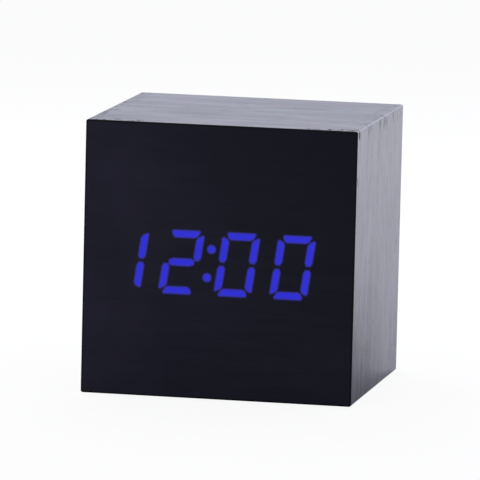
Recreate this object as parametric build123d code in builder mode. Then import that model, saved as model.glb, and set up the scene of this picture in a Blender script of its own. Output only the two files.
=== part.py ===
from build123d import *
import os
from math import radians, sqrt, tan

# A cube alarm clock. Four veneered boards make the case, a thin veneer closes the front, and a
# four digit display glows through it. The rear cover holds the battery bay, the keys and the
# power socket. Lengths are in millimetres. X runs to the right seen from the front, Y runs to
# the rear, Z runs up, and the origin is the middle of the footprint.

os.makedirs("parts", exist_ok=True)

# Driving sizes of the case
case_width = 62.0
case_height = 62.0
case_depth = 57.0
board_thickness = 3.0
veneer_thickness = 0.3
front_veneer_thickness = 0.4
case_corner_radius = 0.5
glue_clearance = 0.1
cut_overrun = 1.0
# Screws, their holes and other small rounds out of sight are drawn with a few flat sides
small_sides = 12

front_y = -case_depth / 2
rear_y = case_depth / 2
face_middle = case_height / 2
veneer_back_y = front_y + front_veneer_thickness
core_width = case_width - 2 * veneer_thickness
core_height = case_height - 2 * veneer_thickness
core_corner_radius = case_corner_radius - veneer_thickness
inner_width = core_width - 2 * board_thickness
inner_height = core_height - 2 * board_thickness


def upright(depth):
    """The plane that stands square to the Y axis at this depth, X to the right and Z up."""
    return Plane.XZ.offset(-depth)


# Four mitred boards
# Each board is cut at 45 degrees at both ends, and a rebate round the front takes the front board.
front_board_thickness = 3.0
rebate_depth = 1.5

rebate_width = inner_width + 2 * rebate_depth
rebate_height = inner_height + 2 * rebate_depth
rebate_floor_y = veneer_back_y + front_board_thickness
case_sides = ("top", "bottom", "left", "right")


def mitred_stretch(side, half_width, half_height, reach):
    """Corner points of the stretch of a square ring that one side of the case takes."""
    level = [
        (-half_width, half_height),
        (half_width, half_height),
        (half_width - reach, half_height - reach),
        (reach - half_width, half_height - reach),
    ]
    standing = [
        (half_width, half_height),
        (half_width, -half_height),
        (half_width - reach, reach - half_height),
        (half_width - reach, half_height - reach),
    ]
    corners = {
        "top": level,
        "bottom": [(x, -z) for x, z in level],
        "right": standing,
        "left": [(-x, z) for x, z in standing],
    }
    return [(x, face_middle + z) for x, z in corners[side]]


for side in case_sides:
    with BuildPart() as board:
        with BuildSketch(upright(rear_y)):
            with Locations((0, face_middle)):
                RectangleRounded(core_width, core_height, core_corner_radius)
                Rectangle(inner_width, inner_height, mode=Mode.SUBTRACT)
            stretch = mitred_stretch(side, core_width / 2, core_height / 2, board_thickness)
            Polygon(*stretch, align=None, mode=Mode.INTERSECT)
        extrude(amount=rear_y - veneer_back_y)
        with BuildSketch(upright(rebate_floor_y)):
            with Locations((0, face_middle)):
                Rectangle(rebate_width, rebate_height)
        extrude(amount=front_board_thickness, mode=Mode.SUBTRACT)
    board.part.label = f"{side}_board"
    export_step(board.part, f"parts/{side}_board.step")

# Four sheets of veneer, one on each board, mitred through the rounded corners
for side in case_sides:
    with BuildPart() as sheet:
        with BuildSketch(upright(rear_y)):
            with Locations((0, face_middle)):
                RectangleRounded(case_width, case_height, case_corner_radius)
                RectangleRounded(core_width, core_height, core_corner_radius, mode=Mode.SUBTRACT)
            veneer_reach = veneer_thickness + case_corner_radius
            stretch = mitred_stretch(side, case_width / 2, case_height / 2, veneer_reach)
            Polygon(*stretch, align=None, mode=Mode.INTERSECT)
        extrude(amount=rear_y - veneer_back_y)
    sheet.part.label = f"{side}_veneer"
    export_step(sheet.part, f"parts/{side}_veneer.step")

# Display outlines
# The glowing strokes lean to the right. Widths run along the digit, heights are from its middle.
display_shift = 2.07
display_drop = 0.25
module_side_gap = 0.48
module_trim = 0.5
digit_height = 14.45
digit_lean = 8.0
side_spread_share = 0.27165
stroke_width = 1.65
stroke_corner = 0.42
bar_outer_setback = 0.04
bar_inner_setback = 0.82
middle_setback = 0.35
middle_shoulder = 0.65
side_foot = 0.22
side_point = 0.5
side_outer_drop = 0.06
side_inner_drop = 0.97
colon_rise = 3.22
colon_radius = 0.95
colon_sides = 20

digit_names = ("hour_tens", "hour_units", "minute_tens", "minute_units")
time_shown = ("1", "2", "0", "0")
display_x = -display_shift
display_z = face_middle - display_drop
module_width = inner_width - 2 * (display_shift + module_side_gap)
digit_pitch = (module_width + module_trim) / len(digit_names)
side_spread = side_spread_share * digit_pitch
half_stroke = stroke_width / 2
bar_rise = digit_height / 2 - half_stroke
bar_outer_half = side_spread - bar_outer_setback
bar_inner_half = side_spread - bar_inner_setback
middle_half = side_spread - middle_setback
side_top_outer = bar_rise - side_outer_drop
side_top_inner = bar_rise - side_inner_drop
lean = tan(radians(digit_lean))
bar_outline = [
    (-bar_outer_half, bar_rise + half_stroke),
    (bar_outer_half, bar_rise + half_stroke),
    (bar_inner_half, bar_rise - half_stroke),
    (-bar_inner_half, bar_rise - half_stroke),
]
middle_outline = [
    (-middle_half, 0),
    (middle_shoulder - middle_half, half_stroke),
    (middle_half - middle_shoulder, half_stroke),
    (middle_half, 0),
    (middle_half - middle_shoulder, -half_stroke),
    (middle_shoulder - middle_half, -half_stroke),
]
side_outline = [
    (side_spread + half_stroke, side_top_outer),
    (side_spread + half_stroke, side_foot + side_point),
    (side_spread, side_foot),
    (side_spread - half_stroke, side_foot + side_point),
    (side_spread - half_stroke, side_top_inner),
]
# Each stroke is one of the three outlines, turned over where its name says left, lower or bottom
strokes = {
    "top": bar_outline,
    "bottom": bar_outline,
    "middle": middle_outline,
    "upper_right": side_outline,
    "lower_right": side_outline,
    "upper_left": side_outline,
    "lower_left": side_outline,
}
numerals = {
    "0": ("top", "bottom", "upper_right", "lower_right", "upper_left", "lower_left"),
    "1": ("upper_right", "lower_right"),
    "2": ("top", "upper_right", "middle", "lower_left", "bottom"),
    "8": tuple(strokes),
}


def draw_numeral(numeral, position):
    """Add the strokes of one numeral, at one of the four digit positions, to the open sketch."""
    digit_x = display_x + (position - (len(digit_names) - 1) / 2) * digit_pitch
    for stroke in numerals[numeral]:
        sideways = -1 if "left" in stroke else 1
        upward = -1 if "lower" in stroke or stroke == "bottom" else 1
        corners = []
        for x, z in strokes[stroke]:
            rise = upward * z
            corners.append((digit_x + sideways * x + lean * rise, display_z + rise))
        Polygon(*corners, align=None)


def draw_colon():
    """Add the two dots between hours and minutes to the open sketch."""
    upper_dot = (display_x + lean * colon_rise, display_z + colon_rise)
    lower_dot = (display_x - lean * colon_rise, display_z - colon_rise)
    with Locations(upper_dot, lower_dot):
        RegularPolygon(colon_radius, colon_sides)


# Front veneer, thinned right through where the time shows so that each glowing stroke can fill it
face_edge = 0.2

with BuildPart() as front_veneer:
    with BuildSketch(upright(veneer_back_y)):
        with Locations((0, face_middle)):
            RectangleRounded(case_width, case_height, case_corner_radius)
    extrude(amount=front_veneer_thickness)
    face_rim = front_veneer.faces().sort_by(Axis.Y)[0].outer_wire().edges()
    chamfer(face_rim, face_edge)
    with BuildSketch(upright(veneer_back_y)) as glow_windows:
        for position, numeral in enumerate(time_shown):
            draw_numeral(numeral, position)
        chamfer(glow_windows.vertices(), stroke_corner)
        draw_colon()
    extrude(amount=front_veneer_thickness, mode=Mode.SUBTRACT)
front_veneer.part.label = "front_veneer"
export_step(front_veneer.part, "parts/front_veneer.step")

# The glowing stretches of the front, flush with the veneer round them
for position, numeral in enumerate(time_shown):
    with BuildPart() as glow:
        with BuildSketch(upright(veneer_back_y)) as glow_outline:
            draw_numeral(numeral, position)
            chamfer(glow_outline.vertices(), stroke_corner)
        extrude(amount=front_veneer_thickness)
    glow.part.label = f"lit_{digit_names[position]}"
    export_step(glow.part, f"parts/lit_{digit_names[position]}.step")

with BuildPart() as lit_colon:
    with BuildSketch(upright(veneer_back_y)):
        draw_colon()
    extrude(amount=front_veneer_thickness)
lit_colon.part.label = "lit_colon"
export_step(lit_colon.part, "parts/lit_colon.step")

# Display module
# A black reflector with a well right through it for every stroke, filled with clear resin down to
# just over its diode.
module_height = 19.0
reflector_depth = 7.0
resin_depth = 6.2
module_base_thickness = 1.0
diode_width = 0.6
diode_depth = 0.3
pin_pitch = 2.54
pins_in_row = 6
pin_spacing = 15.24
pin_width = 0.5

reflector_back_y = veneer_back_y + reflector_depth
module_back_y = reflector_back_y + module_base_thickness

with BuildPart() as segment_light_pipes:
    with BuildSketch(upright(veneer_back_y)) as all_strokes:
        for position in range(len(digit_names)):
            draw_numeral("8", position)
        draw_colon()
    extrude(amount=-resin_depth)
segment_light_pipes.part.label = "segment_light_pipes"
export_step(segment_light_pipes.part, "parts/segment_light_pipes.step")


def diode_places():
    """Where the diodes sit, one behind the middle of every stroke and dot."""
    side_middle = (side_foot + side_top_outer) / 2
    places = []
    for position in range(len(digit_names)):
        digit_x = display_x + (position - (len(digit_names) - 1) / 2) * digit_pitch
        for rise in (-bar_rise, 0, bar_rise):
            places.append((digit_x + lean * rise, display_z + rise))
        for rise in (-side_middle, side_middle):
            for spread in (-side_spread, side_spread):
                places.append((digit_x + spread + lean * rise, display_z + rise))
    for rise in (-colon_rise, colon_rise):
        places.append((display_x + lean * rise, display_z + rise))
    return places


with BuildPart() as display_housing:
    with BuildSketch(upright(reflector_back_y)):
        with Locations((display_x, display_z)):
            Rectangle(module_width, module_height)
    extrude(amount=reflector_depth)
    extrude(to_extrude=all_strokes.sketch, amount=-reflector_depth, mode=Mode.SUBTRACT)
display_housing.part.label = "display_housing"
export_step(display_housing.part, "parts/display_housing.step")

with BuildPart() as segment_diodes:
    with BuildSketch(upright(reflector_back_y)):
        with Locations(*diode_places()):
            Rectangle(diode_width, diode_width)
    extrude(amount=diode_depth)
segment_diodes.part.label = "segment_diodes"
export_step(segment_diodes.part, "parts/segment_diodes.step")

# The module's own thin board closes the reflector, and its two rows of pins go through the main
# board behind it
main_board_thickness = 1.6
pin_hole_width = 0.8
pin_proud = 1.0

board_rear_y = module_back_y + main_board_thickness

with BuildPart() as display_base:
    with BuildSketch(upright(module_back_y)):
        with Locations((display_x, display_z)):
            Rectangle(module_width, module_height)
    extrude(amount=module_base_thickness)
display_base.part.label = "display_base"
export_step(display_base.part, "parts/display_base.step")

with BuildPart() as display_pins:
    with BuildSketch(upright(board_rear_y + pin_proud)):
        with Locations((display_x, display_z)):
            with GridLocations(pin_pitch, pin_spacing, pins_in_row, 2):
                Rectangle(pin_width, pin_width)
    extrude(amount=board_rear_y + pin_proud - module_back_y)
display_pins.part.label = "display_pins"
export_step(display_pins.part, "parts/display_pins.step")

# Front board
# A fibreboard panel let into the rebate, with a window that holds the display module
window_clearance = 0.1
board_screw_radius = 1.0
board_screw_bite = 2.2
board_screw_inset = 4.3
board_screw_rise = 4.5
board_rim = 3.0
main_board_side_gap = 0.4
screw_hole_clearance = 0.05

main_board_width = inner_width - 2 * main_board_side_gap
board_screw_columns = main_board_width - 2 * board_screw_inset
board_screw_rows = module_height + 2 * board_screw_rise
main_board_height = board_screw_rows + 2 * board_rim
main_board_top_z = face_middle + main_board_height / 2
main_board_bottom_z = face_middle - main_board_height / 2
board_screw_places = [
    (-board_screw_columns / 2, face_middle + board_screw_rows / 2),
    (board_screw_columns / 2, face_middle - board_screw_rows / 2),
]

with BuildPart() as front_board:
    with BuildSketch(upright(rebate_floor_y)):
        with Locations((0, face_middle)):
            Rectangle(rebate_width - 2 * glue_clearance, rebate_height - 2 * glue_clearance)
        with Locations((display_x, display_z)):
            Rectangle(
                module_width + 2 * window_clearance,
                module_height + 2 * window_clearance,
                mode=Mode.SUBTRACT,
            )
    extrude(amount=front_board_thickness)
    with BuildSketch(upright(rebate_floor_y)):
        with Locations(*board_screw_places):
            RegularPolygon(board_screw_radius + screw_hole_clearance, small_sides)
    extrude(amount=board_screw_bite + screw_hole_clearance, mode=Mode.SUBTRACT)
front_board.part.label = "front_board"
export_step(front_board.part, "parts/front_board.step")

# Main board, held off the front board by a spacer and a pan head screw at two corners
board_hole_radius = 1.2
spacer_radius = 2.2
spacer_faces = 6
pan_head_radius = 1.9
pan_head_height = 1.2

with BuildPart() as main_board:
    with BuildSketch(upright(board_rear_y)):
        with Locations((0, face_middle)):
            Rectangle(main_board_width, main_board_height)
        with Locations(*board_screw_places):
            RegularPolygon(board_hole_radius, small_sides, mode=Mode.SUBTRACT)
        with Locations((display_x, display_z)):
            with GridLocations(pin_pitch, pin_spacing, pins_in_row, 2):
                Rectangle(pin_hole_width, pin_hole_width, mode=Mode.SUBTRACT)
    extrude(amount=main_board_thickness)
main_board.part.label = "main_board"
export_step(main_board.part, "parts/main_board.step")

with BuildPart() as board_spacers:
    with BuildSketch(upright(module_back_y)):
        with Locations(*board_screw_places):
            RegularPolygon(spacer_radius, spacer_faces)
            RegularPolygon(board_hole_radius, small_sides, mode=Mode.SUBTRACT)
    extrude(amount=module_back_y - rebate_floor_y)
board_spacers.part.label = "board_spacers"
export_step(board_spacers.part, "parts/board_spacers.step")

with BuildPart() as board_screws:
    with BuildSketch(upright(board_rear_y)):
        with Locations(*board_screw_places):
            RegularPolygon(board_screw_radius, small_sides)
    extrude(amount=board_rear_y - rebate_floor_y + board_screw_bite)
    with BuildSketch(upright(board_rear_y + pan_head_height)):
        with Locations(*board_screw_places):
            RegularPolygon(pan_head_radius, small_sides)
    extrude(amount=pan_head_height)
board_screws.part.label = "board_screws"
export_step(board_screws.part, "parts/board_screws.step")

# Clock chip, a flat package with gull wing legs down both long sides
chip_length = 10.3
chip_width = 7.5
chip_height = 2.3
chip_standoff = 0.1
chip_edge = 0.3
chip_x_share = -0.11
leg_pitch = 1.27
legs_in_row = 8
leg_width = 0.4
leg_thickness = 0.25
leg_shoulder = 0.5
leg_drop = 0.25
leg_foot = 0.6

chip_x = chip_x_share * main_board_width
chip_z = display_z
chip_front_y = board_rear_y + chip_standoff
leg_foot_y = board_rear_y + leg_thickness / 2
leg_top_y = chip_front_y + chip_height / 2

with BuildPart() as clock_chip:
    with BuildSketch(upright(chip_front_y + chip_height)):
        with Locations((chip_x, chip_z)):
            Rectangle(chip_length, chip_width)
    extrude(amount=chip_height)
    chamfer(clock_chip.faces().sort_by(Axis.Y)[-1].edges(), chip_edge)
clock_chip.part.label = "clock_chip"
export_step(clock_chip.part, "parts/clock_chip.step")

with BuildPart() as leg_pair:
    with BuildSketch(Plane.YZ.offset(chip_x - leg_width / 2)):
        for side in (-1, 1):
            leg_root = chip_z + side * chip_width / 2
            leg_reach = leg_root + side * leg_shoulder
            leg_heel = leg_reach + side * leg_drop
            leg_toe = leg_heel + side * leg_foot
            with BuildLine():
                Polyline(
                    (leg_top_y, leg_root),
                    (leg_top_y, leg_reach),
                    (leg_foot_y, leg_heel),
                    (leg_foot_y, leg_toe),
                )
            trace(line_width=leg_thickness)
    extrude(amount=leg_width)

with BuildPart() as clock_chip_legs:
    with GridLocations(leg_pitch, leg_pitch, legs_in_row, 1):
        add(leg_pair.part)
clock_chip_legs.part.label = "clock_chip_legs"
export_step(clock_chip_legs.part, "parts/clock_chip_legs.step")

# Timing crystal, a small can lying on the board
crystal_radius = 1.0
crystal_length = 6.0
crystal_inset = 8.3
crystal_drop = 9.25
crystal_gap = 0.05

crystal_x = crystal_inset - main_board_width / 2
crystal_z = main_board_top_z - crystal_drop

with BuildPart() as crystal:
    with BuildSketch(Plane.YZ.offset(crystal_x - crystal_length / 2)):
        with Locations((board_rear_y + crystal_gap + crystal_radius, crystal_z)):
            RegularPolygon(crystal_radius, small_sides)
    extrude(amount=crystal_length)
crystal.part.label = "crystal"
export_step(crystal.part, "parts/crystal.step")

# Smoothing capacitor, a can standing on the board
capacitor_radius = 3.15
capacitor_height = 7.0
capacitor_inset = 15.3
capacitor_drop = 12.5

capacitor_x = main_board_width / 2 - capacitor_inset

with BuildPart() as capacitor:
    with BuildSketch(upright(board_rear_y + capacitor_height)):
        with Locations((capacitor_x, main_board_top_z - capacitor_drop)):
            Circle(capacitor_radius)
    extrude(amount=capacitor_height)
capacitor.part.label = "capacitor"
export_step(capacitor.part, "parts/capacitor.step")

# Alarm buzzer, a round shell with a sound hole in its end
buzzer_radius = 4.5
buzzer_height = 5.5
buzzer_hole_radius = 1.0
buzzer_hole_depth = 3.0
buzzer_inset = 12.8
buzzer_rise = 7.25

buzzer_x = main_board_width / 2 - buzzer_inset
buzzer_z = main_board_bottom_z + buzzer_rise

with BuildPart() as buzzer:
    with BuildSketch(upright(board_rear_y + buzzer_height)):
        with Locations((buzzer_x, buzzer_z)):
            Circle(buzzer_radius)
    extrude(amount=buzzer_height)
    with BuildSketch(upright(board_rear_y + buzzer_height)):
        with Locations((buzzer_x, buzzer_z)):
            RegularPolygon(buzzer_hole_radius, small_sides)
    extrude(amount=buzzer_hole_depth, mode=Mode.SUBTRACT)
buzzer.part.label = "buzzer"
export_step(buzzer.part, "parts/buzzer.step")

# Four transistors that switch the digits, and a row of resistors for the strokes
driver_length = 2.9
driver_width = 1.3
driver_height = 1.0
driver_pitch = 4.5
driver_drop = 3.5
resistor_length = 2.0
resistor_width = 1.25
resistor_height = 0.5
resistor_pitch = 2.0
resistor_count = 8
resistor_drop = 6.5

with BuildPart() as digit_drivers:
    with BuildSketch(upright(board_rear_y + driver_height)):
        with Locations((chip_x, main_board_top_z - driver_drop)):
            with GridLocations(driver_pitch, driver_pitch, len(digit_names), 1):
                Rectangle(driver_length, driver_width)
    extrude(amount=driver_height)
digit_drivers.part.label = "digit_drivers"
export_step(digit_drivers.part, "parts/digit_drivers.step")

with BuildPart() as segment_resistors:
    with BuildSketch(upright(board_rear_y + resistor_height)):
        with Locations((chip_x, main_board_top_z - resistor_drop)):
            with GridLocations(resistor_pitch, resistor_pitch, resistor_count, 1):
                Rectangle(resistor_width, resistor_length)
    extrude(amount=resistor_height)
segment_resistors.part.label = "segment_resistors"
export_step(segment_resistors.part, "parts/segment_resistors.step")

# Two open headers, one for the battery leads and one for the ribbon from the keys
header_height = 5.0
header_width = 4.4
header_wall = 0.6
header_floor = 1.0
battery_header_length = 6.0
battery_header_inset = 9.8
battery_header_rise = 6.0
ribbon_header_length = 9.2
ribbon_header_inset = 13.3
ribbon_header_drop = 4.0

header_floor_y = board_rear_y + header_floor
battery_header_x = battery_header_inset - main_board_width / 2
ribbon_header_x = main_board_width / 2 - ribbon_header_inset
battery_header_z = main_board_bottom_z + battery_header_rise
ribbon_header_z = main_board_top_z - ribbon_header_drop

with BuildPart() as board_headers:
    with BuildSketch(upright(board_rear_y + header_height)):
        with Locations((battery_header_x, battery_header_z)):
            Rectangle(battery_header_length, header_width)
        with Locations((ribbon_header_x, ribbon_header_z)):
            Rectangle(ribbon_header_length, header_width)
    extrude(amount=header_height)
    with BuildSketch(upright(board_rear_y + header_height)):
        with Locations((battery_header_x, battery_header_z)):
            Rectangle(battery_header_length - 2 * header_wall, header_width - 2 * header_wall)
        with Locations((ribbon_header_x, ribbon_header_z)):
            Rectangle(ribbon_header_length - 2 * header_wall, header_width - 2 * header_wall)
    extrude(amount=header_height - header_floor, mode=Mode.SUBTRACT)
board_headers.part.label = "board_headers"
export_step(board_headers.part, "parts/board_headers.step")

# Rear cover sizes
# The cover is one moulding, let into the rear of the case, and the battery bay hangs from it.
cover_inset = 1.5
cover_thickness = 2.4
cover_clearance = 0.2
cover_edge = 0.3
block_width = 5.5
block_length = 12.0
cover_screw_radius = 1.0
cover_screw_length = 9.5
cover_hole_radius = 1.25
cover_bore_radius = 2.2
cover_bore_depth = 1.3

cover_rear_y = rear_y - cover_inset
cover_front_y = cover_rear_y - cover_thickness
cover_width = inner_width - 2 * cover_clearance
cover_height = inner_height - 2 * cover_clearance
screw_columns = inner_width - block_width
screw_rows = inner_height - block_width
screw_seat_y = cover_rear_y - cover_bore_depth

# Battery bay sizes
# Three slim cells lie one above another in scalloped troughs behind the door.
nub_radius = 1.9
nub_length = 1.0
cell_names = ("lowest", "middle", "highest")
trough_clearance = 0.3
bay_wall = 1.2
bay_side_gap = 1.5
bay_block_gap = 0.6
strip_height = 13.6
leaf_room = 4.4
ridge_flat_drop = 1.5
cell_door_clearance = 0.2

bay_width = inner_width - 2 * (bay_wall + bay_side_gap)
bay_bottom_z = veneer_thickness + board_thickness + block_width + bay_block_gap + bay_wall
bay_top_z = case_height - veneer_thickness - board_thickness - strip_height - bay_wall
bay_height = bay_top_z - bay_bottom_z
cell_count = len(cell_names)
cell_pitch = bay_height / cell_count
trough_radius = cell_pitch / 2
cell_radius = trough_radius - trough_clearance
cell_rows = {name: bay_bottom_z + (row + 1 / 2) * cell_pitch for row, name in enumerate(cell_names)}

# Battery contact sizes
# Nickel plated strips stand against the bay's end walls. A dimple meets each raised end and a
# bent leaf presses on each flat end. Two strips link neighbours, and two have a tail for a lead.
contact_thickness = 0.3
contact_corner_gap = 0.3
dimple_radius = 1.8
dimple_height = 0.5
link_width = 4.2
link_shift = 1.1
leaf_width = 4.0
leaf_root_gap = 0.1
leaf_end_gap = 0.4
leaf_peak = 1.0
leaf_standoff = 1.5
leaf_gap = 0.2
tail_width = 2.0
tail_proud = 1.5
tail_slot_clearance = 0.2

# For each strip, the side it stands on, the cells whose raised ends it meets and the cells whose
# flat ends it presses on
contacts = {
    "positive_contact": ("left", ["lowest"], []),
    "lower_link_contact": ("right", ["middle"], ["lowest"]),
    "upper_link_contact": ("left", ["highest"], ["middle"]),
    "negative_contact": ("right", [], ["highest"]),
}
raised_ends = {"lowest": "left", "middle": "right", "highest": "left"}
tails = {"left": "lowest", "right": "highest"}


def towards(side):
    """The direction along X of the left or right side."""
    return -1 if side == "left" else 1


end_wall_x = bay_width / 2
cell_length = bay_width - 2 * contact_thickness - dimple_height - leaf_room
contact_width = sqrt(2) * (trough_radius - contact_corner_gap)
leaf_root = contact_width / 2 - leaf_root_gap
leaf_end = contact_width / 2 - leaf_end_gap
nub_end_x = end_wall_x - contact_thickness - dimple_height
flat_end_x = cell_length - nub_end_x
tail_x = end_wall_x - contact_thickness / 2

# Battery door sizes
# The door turns on two pins at its lower edge and is held by a springy tongue at its upper edge.
door_thickness = 1.8
door_overlap = 0.6
door_clearance = 0.25
door_top_overlap = 0.5
door_pin_radius = 0.5
door_pin_length = 0.6
door_pin_clearance = 0.08
door_seat_gap = 0.25
door_corner_radius = 0.8
tongue_half = 4.5
slit_width = 0.5
slit_length = 7.0
scallop_radius = 6.0
scallop_drop = 2.5
scallop_depth = 0.9

door_inner_y = cover_rear_y - door_thickness
door_width = bay_width + 2 * door_overlap
door_top_z = bay_top_z + door_top_overlap
knuckle_radius = door_thickness / 2
door_pivot_y = cover_rear_y - knuckle_radius
door_pivot_z = bay_bottom_z
door_seat_y = door_inner_y - door_seat_gap
cell_y = door_inner_y - cell_door_clearance - cell_radius
bay_floor_y = cell_y - trough_radius
tail_end_y = bay_floor_y - bay_wall - tail_proud
door_opening_width = door_width + 2 * door_clearance
door_opening_bottom = door_pivot_z - knuckle_radius - door_clearance
door_opening_top = door_top_z + door_clearance

# Key strip sizes
# Three keys, the power socket and the sound holes share the strip above the battery bay.
strip_rise = 7.3
key_pitch_share = 0.18
key_middle_share = -0.0225
key_names = ("down", "up", "set")
key_radius = 2.1
key_hole_clearance = 0.3
key_proud = 1.1
key_flange_width = 5.4
key_flange_thickness = 0.8
key_flange_gap = 0.1
key_stem_width = 2.4
key_stem_length = 2.7
key_travel = 0.35
collar_clearance = 0.3
collar_wall = 0.7
collar_length = 2.2
socket_share = 0.36
socket_width = 6.5
socket_nose_radius = 2.9
socket_hole_clearance = 0.2
socket_nose_sunk = 0.2
socket_bore_radius = 1.75
socket_bore_depth = 8.8
socket_pin_radius = 0.65
socket_pin_sunk = 0.7
sound_share = -0.394
slot_width = 0.8
slot_length = 5.0
slot_pitch = 1.8
slot_count = 3

strip_z = bay_top_z + bay_wall + strip_rise
strip_width = inner_width - 2 * block_width
key_pitch = key_pitch_share * strip_width
key_middle_x = key_middle_share * strip_width
socket_x = socket_share * strip_width
sound_x = sound_share * strip_width
key_places = [key_middle_x + (index - 1) * key_pitch for index, name in enumerate(key_names)]
key_hole_radius = key_radius + key_hole_clearance
collar_inner_width = key_flange_width + 2 * collar_clearance
collar_outer_width = collar_inner_width + 2 * collar_wall

# Key board sizes
key_board_thickness = 1.2
key_board_height = 12.0
key_board_drop = 0.7
key_board_left_share = -0.3716
key_board_right_share = 0.4617
switch_width = 5.6
switch_height = 3.5
plunger_radius = 1.6
plunger_clearance = 0.1
plunger_proud = 1.5
plunger_sunk = 1.2
plunger_end_gap = 0.25
boss_radius = 1.7
boss_pilot_depth = 6.0
boss_drop = 5.0
boss_shares = (-0.2928, 0.259)
key_screw_length = 5.0

key_rear_y = cover_rear_y + key_proud
key_flange_rear_y = cover_front_y - key_flange_gap
plunger_top_y = key_flange_rear_y - key_flange_thickness - key_stem_length
switch_rear_y = plunger_top_y - plunger_proud
key_board_rear_y = switch_rear_y - switch_height
key_board_front_y = key_board_rear_y - key_board_thickness
plunger_room = key_travel + plunger_end_gap
boss_z = strip_z - boss_drop
boss_places = [share * strip_width for share in boss_shares]
key_board_left_x = key_board_left_share * strip_width
key_board_right_x = key_board_right_share * strip_width

# Four blocks glued into the rear corners take the cover's screws
with BuildPart() as corner_blocks:
    with BuildSketch(upright(cover_front_y)):
        with Locations((0, face_middle)):
            with GridLocations(screw_columns, screw_rows, 2, 2):
                Rectangle(block_width, block_width)
    extrude(amount=block_length)
    with BuildSketch(upright(cover_front_y)):
        with Locations((0, face_middle)):
            with GridLocations(screw_columns, screw_rows, 2, 2):
                RegularPolygon(cover_screw_radius + screw_hole_clearance, small_sides)
    extrude(amount=cover_screw_length, mode=Mode.SUBTRACT)
corner_blocks.part.label = "corner_blocks"
export_step(corner_blocks.part, "parts/corner_blocks.step")

# Rear cover
rear_face = Plane(origin=(0, cover_rear_y, face_middle), x_dir=(-1, 0, 0), z_dir=(0, 1, 0))

with BuildPart() as rear_cover:
    with BuildSketch(upright(cover_rear_y)):
        with Locations((0, face_middle)):
            Rectangle(cover_width, cover_height)
    extrude(amount=cover_thickness)
    chamfer(rear_cover.faces().sort_by(Axis.Y)[-1].edges(), cover_edge)
    # Outer walls of the bay
    with BuildSketch(upright(cover_front_y)):
        with Locations((0, bay_bottom_z + bay_height / 2)):
            Rectangle(bay_width + 2 * bay_wall, bay_height + 2 * bay_wall)
    extrude(amount=cover_front_y - bay_floor_y + bay_wall)
    # Key collars and screw bosses
    with BuildSketch(upright(cover_front_y)):
        with Locations(*[(x, strip_z) for x in key_places]):
            Rectangle(collar_outer_width, collar_outer_width)
    extrude(amount=collar_length)
    with BuildSketch(upright(cover_front_y)):
        with Locations(*[(x, strip_z) for x in key_places]):
            Rectangle(collar_inner_width, collar_inner_width)
    extrude(amount=collar_length, mode=Mode.SUBTRACT)
    with BuildSketch(upright(cover_front_y)):
        with Locations(*[(x, boss_z) for x in boss_places]):
            Circle(boss_radius)
    extrude(amount=cover_front_y - key_board_rear_y)
    with BuildSketch(upright(key_board_rear_y)):
        with Locations(*[(x, boss_z) for x in boss_places]):
            RegularPolygon(board_screw_radius + screw_hole_clearance, small_sides)
    extrude(amount=-boss_pilot_depth, mode=Mode.SUBTRACT)
    # Troughs for the cells, open to the rear
    with BuildSketch(Plane.YZ.offset(-bay_width / 2)):
        with Locations(*[(cell_y, z) for z in cell_rows.values()]):
            Circle(trough_radius)
        bay_mouth_y = cell_y - ridge_flat_drop
        bay_mouth_depth = cover_rear_y + cut_overrun - bay_mouth_y
        with Locations((bay_mouth_y + bay_mouth_depth / 2, bay_bottom_z + bay_height / 2)):
            Rectangle(bay_mouth_depth, bay_height)
    extrude(amount=bay_width, mode=Mode.SUBTRACT)
    # Seat for the door, with the two holes for its pins
    with BuildSketch(upright(cover_rear_y)):
        with Locations((0, (door_opening_bottom + door_opening_top) / 2)):
            Rectangle(door_opening_width, door_opening_top - door_opening_bottom)
    extrude(amount=cover_rear_y - door_seat_y, mode=Mode.SUBTRACT)
    hinge_hole_span = door_opening_width + 2 * door_pin_length
    with BuildSketch(Plane.YZ.offset(-hinge_hole_span / 2)):
        with Locations((door_pivot_y, door_pivot_z)):
            Circle(door_pin_radius + door_pin_clearance)
    extrude(amount=hinge_hole_span, mode=Mode.SUBTRACT)
    # Slots that let the two contact tails out through the floor of the bay
    with BuildSketch(upright(bay_floor_y + tail_slot_clearance)):
        tail_slot_width = contact_thickness + tail_slot_clearance
        for side, name in tails.items():
            with Locations((towards(side) * (end_wall_x - tail_slot_width / 2), cell_rows[name])):
                Rectangle(tail_slot_width, tail_width + 2 * tail_slot_clearance)
    extrude(amount=bay_wall + 2 * tail_slot_clearance, mode=Mode.SUBTRACT)
    # A scallop above the door gives a fingernail room
    with BuildSketch(upright(cover_rear_y)):
        with Locations((0, door_top_z - scallop_drop)):
            Circle(scallop_radius)
    extrude(amount=scallop_depth, mode=Mode.SUBTRACT)
    # Holes for keys, socket and sound
    with BuildSketch(upright(cover_rear_y)):
        with Locations(*[(x, strip_z) for x in key_places]):
            Circle(key_hole_radius)
        with Locations((socket_x, strip_z)):
            Circle(socket_nose_radius + socket_hole_clearance)
        with Locations((sound_x, strip_z)):
            with GridLocations(slot_pitch, slot_length, slot_count, 1):
                Rectangle(slot_width, slot_length)
    extrude(amount=cover_thickness, mode=Mode.SUBTRACT)
    # Holes for the four corner screws, each with a round sink for its head
    with BuildSketch(upright(cover_rear_y)):
        with Locations((0, face_middle)):
            with GridLocations(screw_columns, screw_rows, 2, 2):
                RegularPolygon(cover_hole_radius, small_sides)
    extrude(amount=cover_thickness, mode=Mode.SUBTRACT)
    with Locations(rear_face):
        with GridLocations(screw_columns, screw_rows, 2, 2):
            Hole(cover_bore_radius, cover_bore_depth)
rear_cover.part.label = "rear_cover"
export_step(rear_cover.part, "parts/rear_cover.step")

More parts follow.
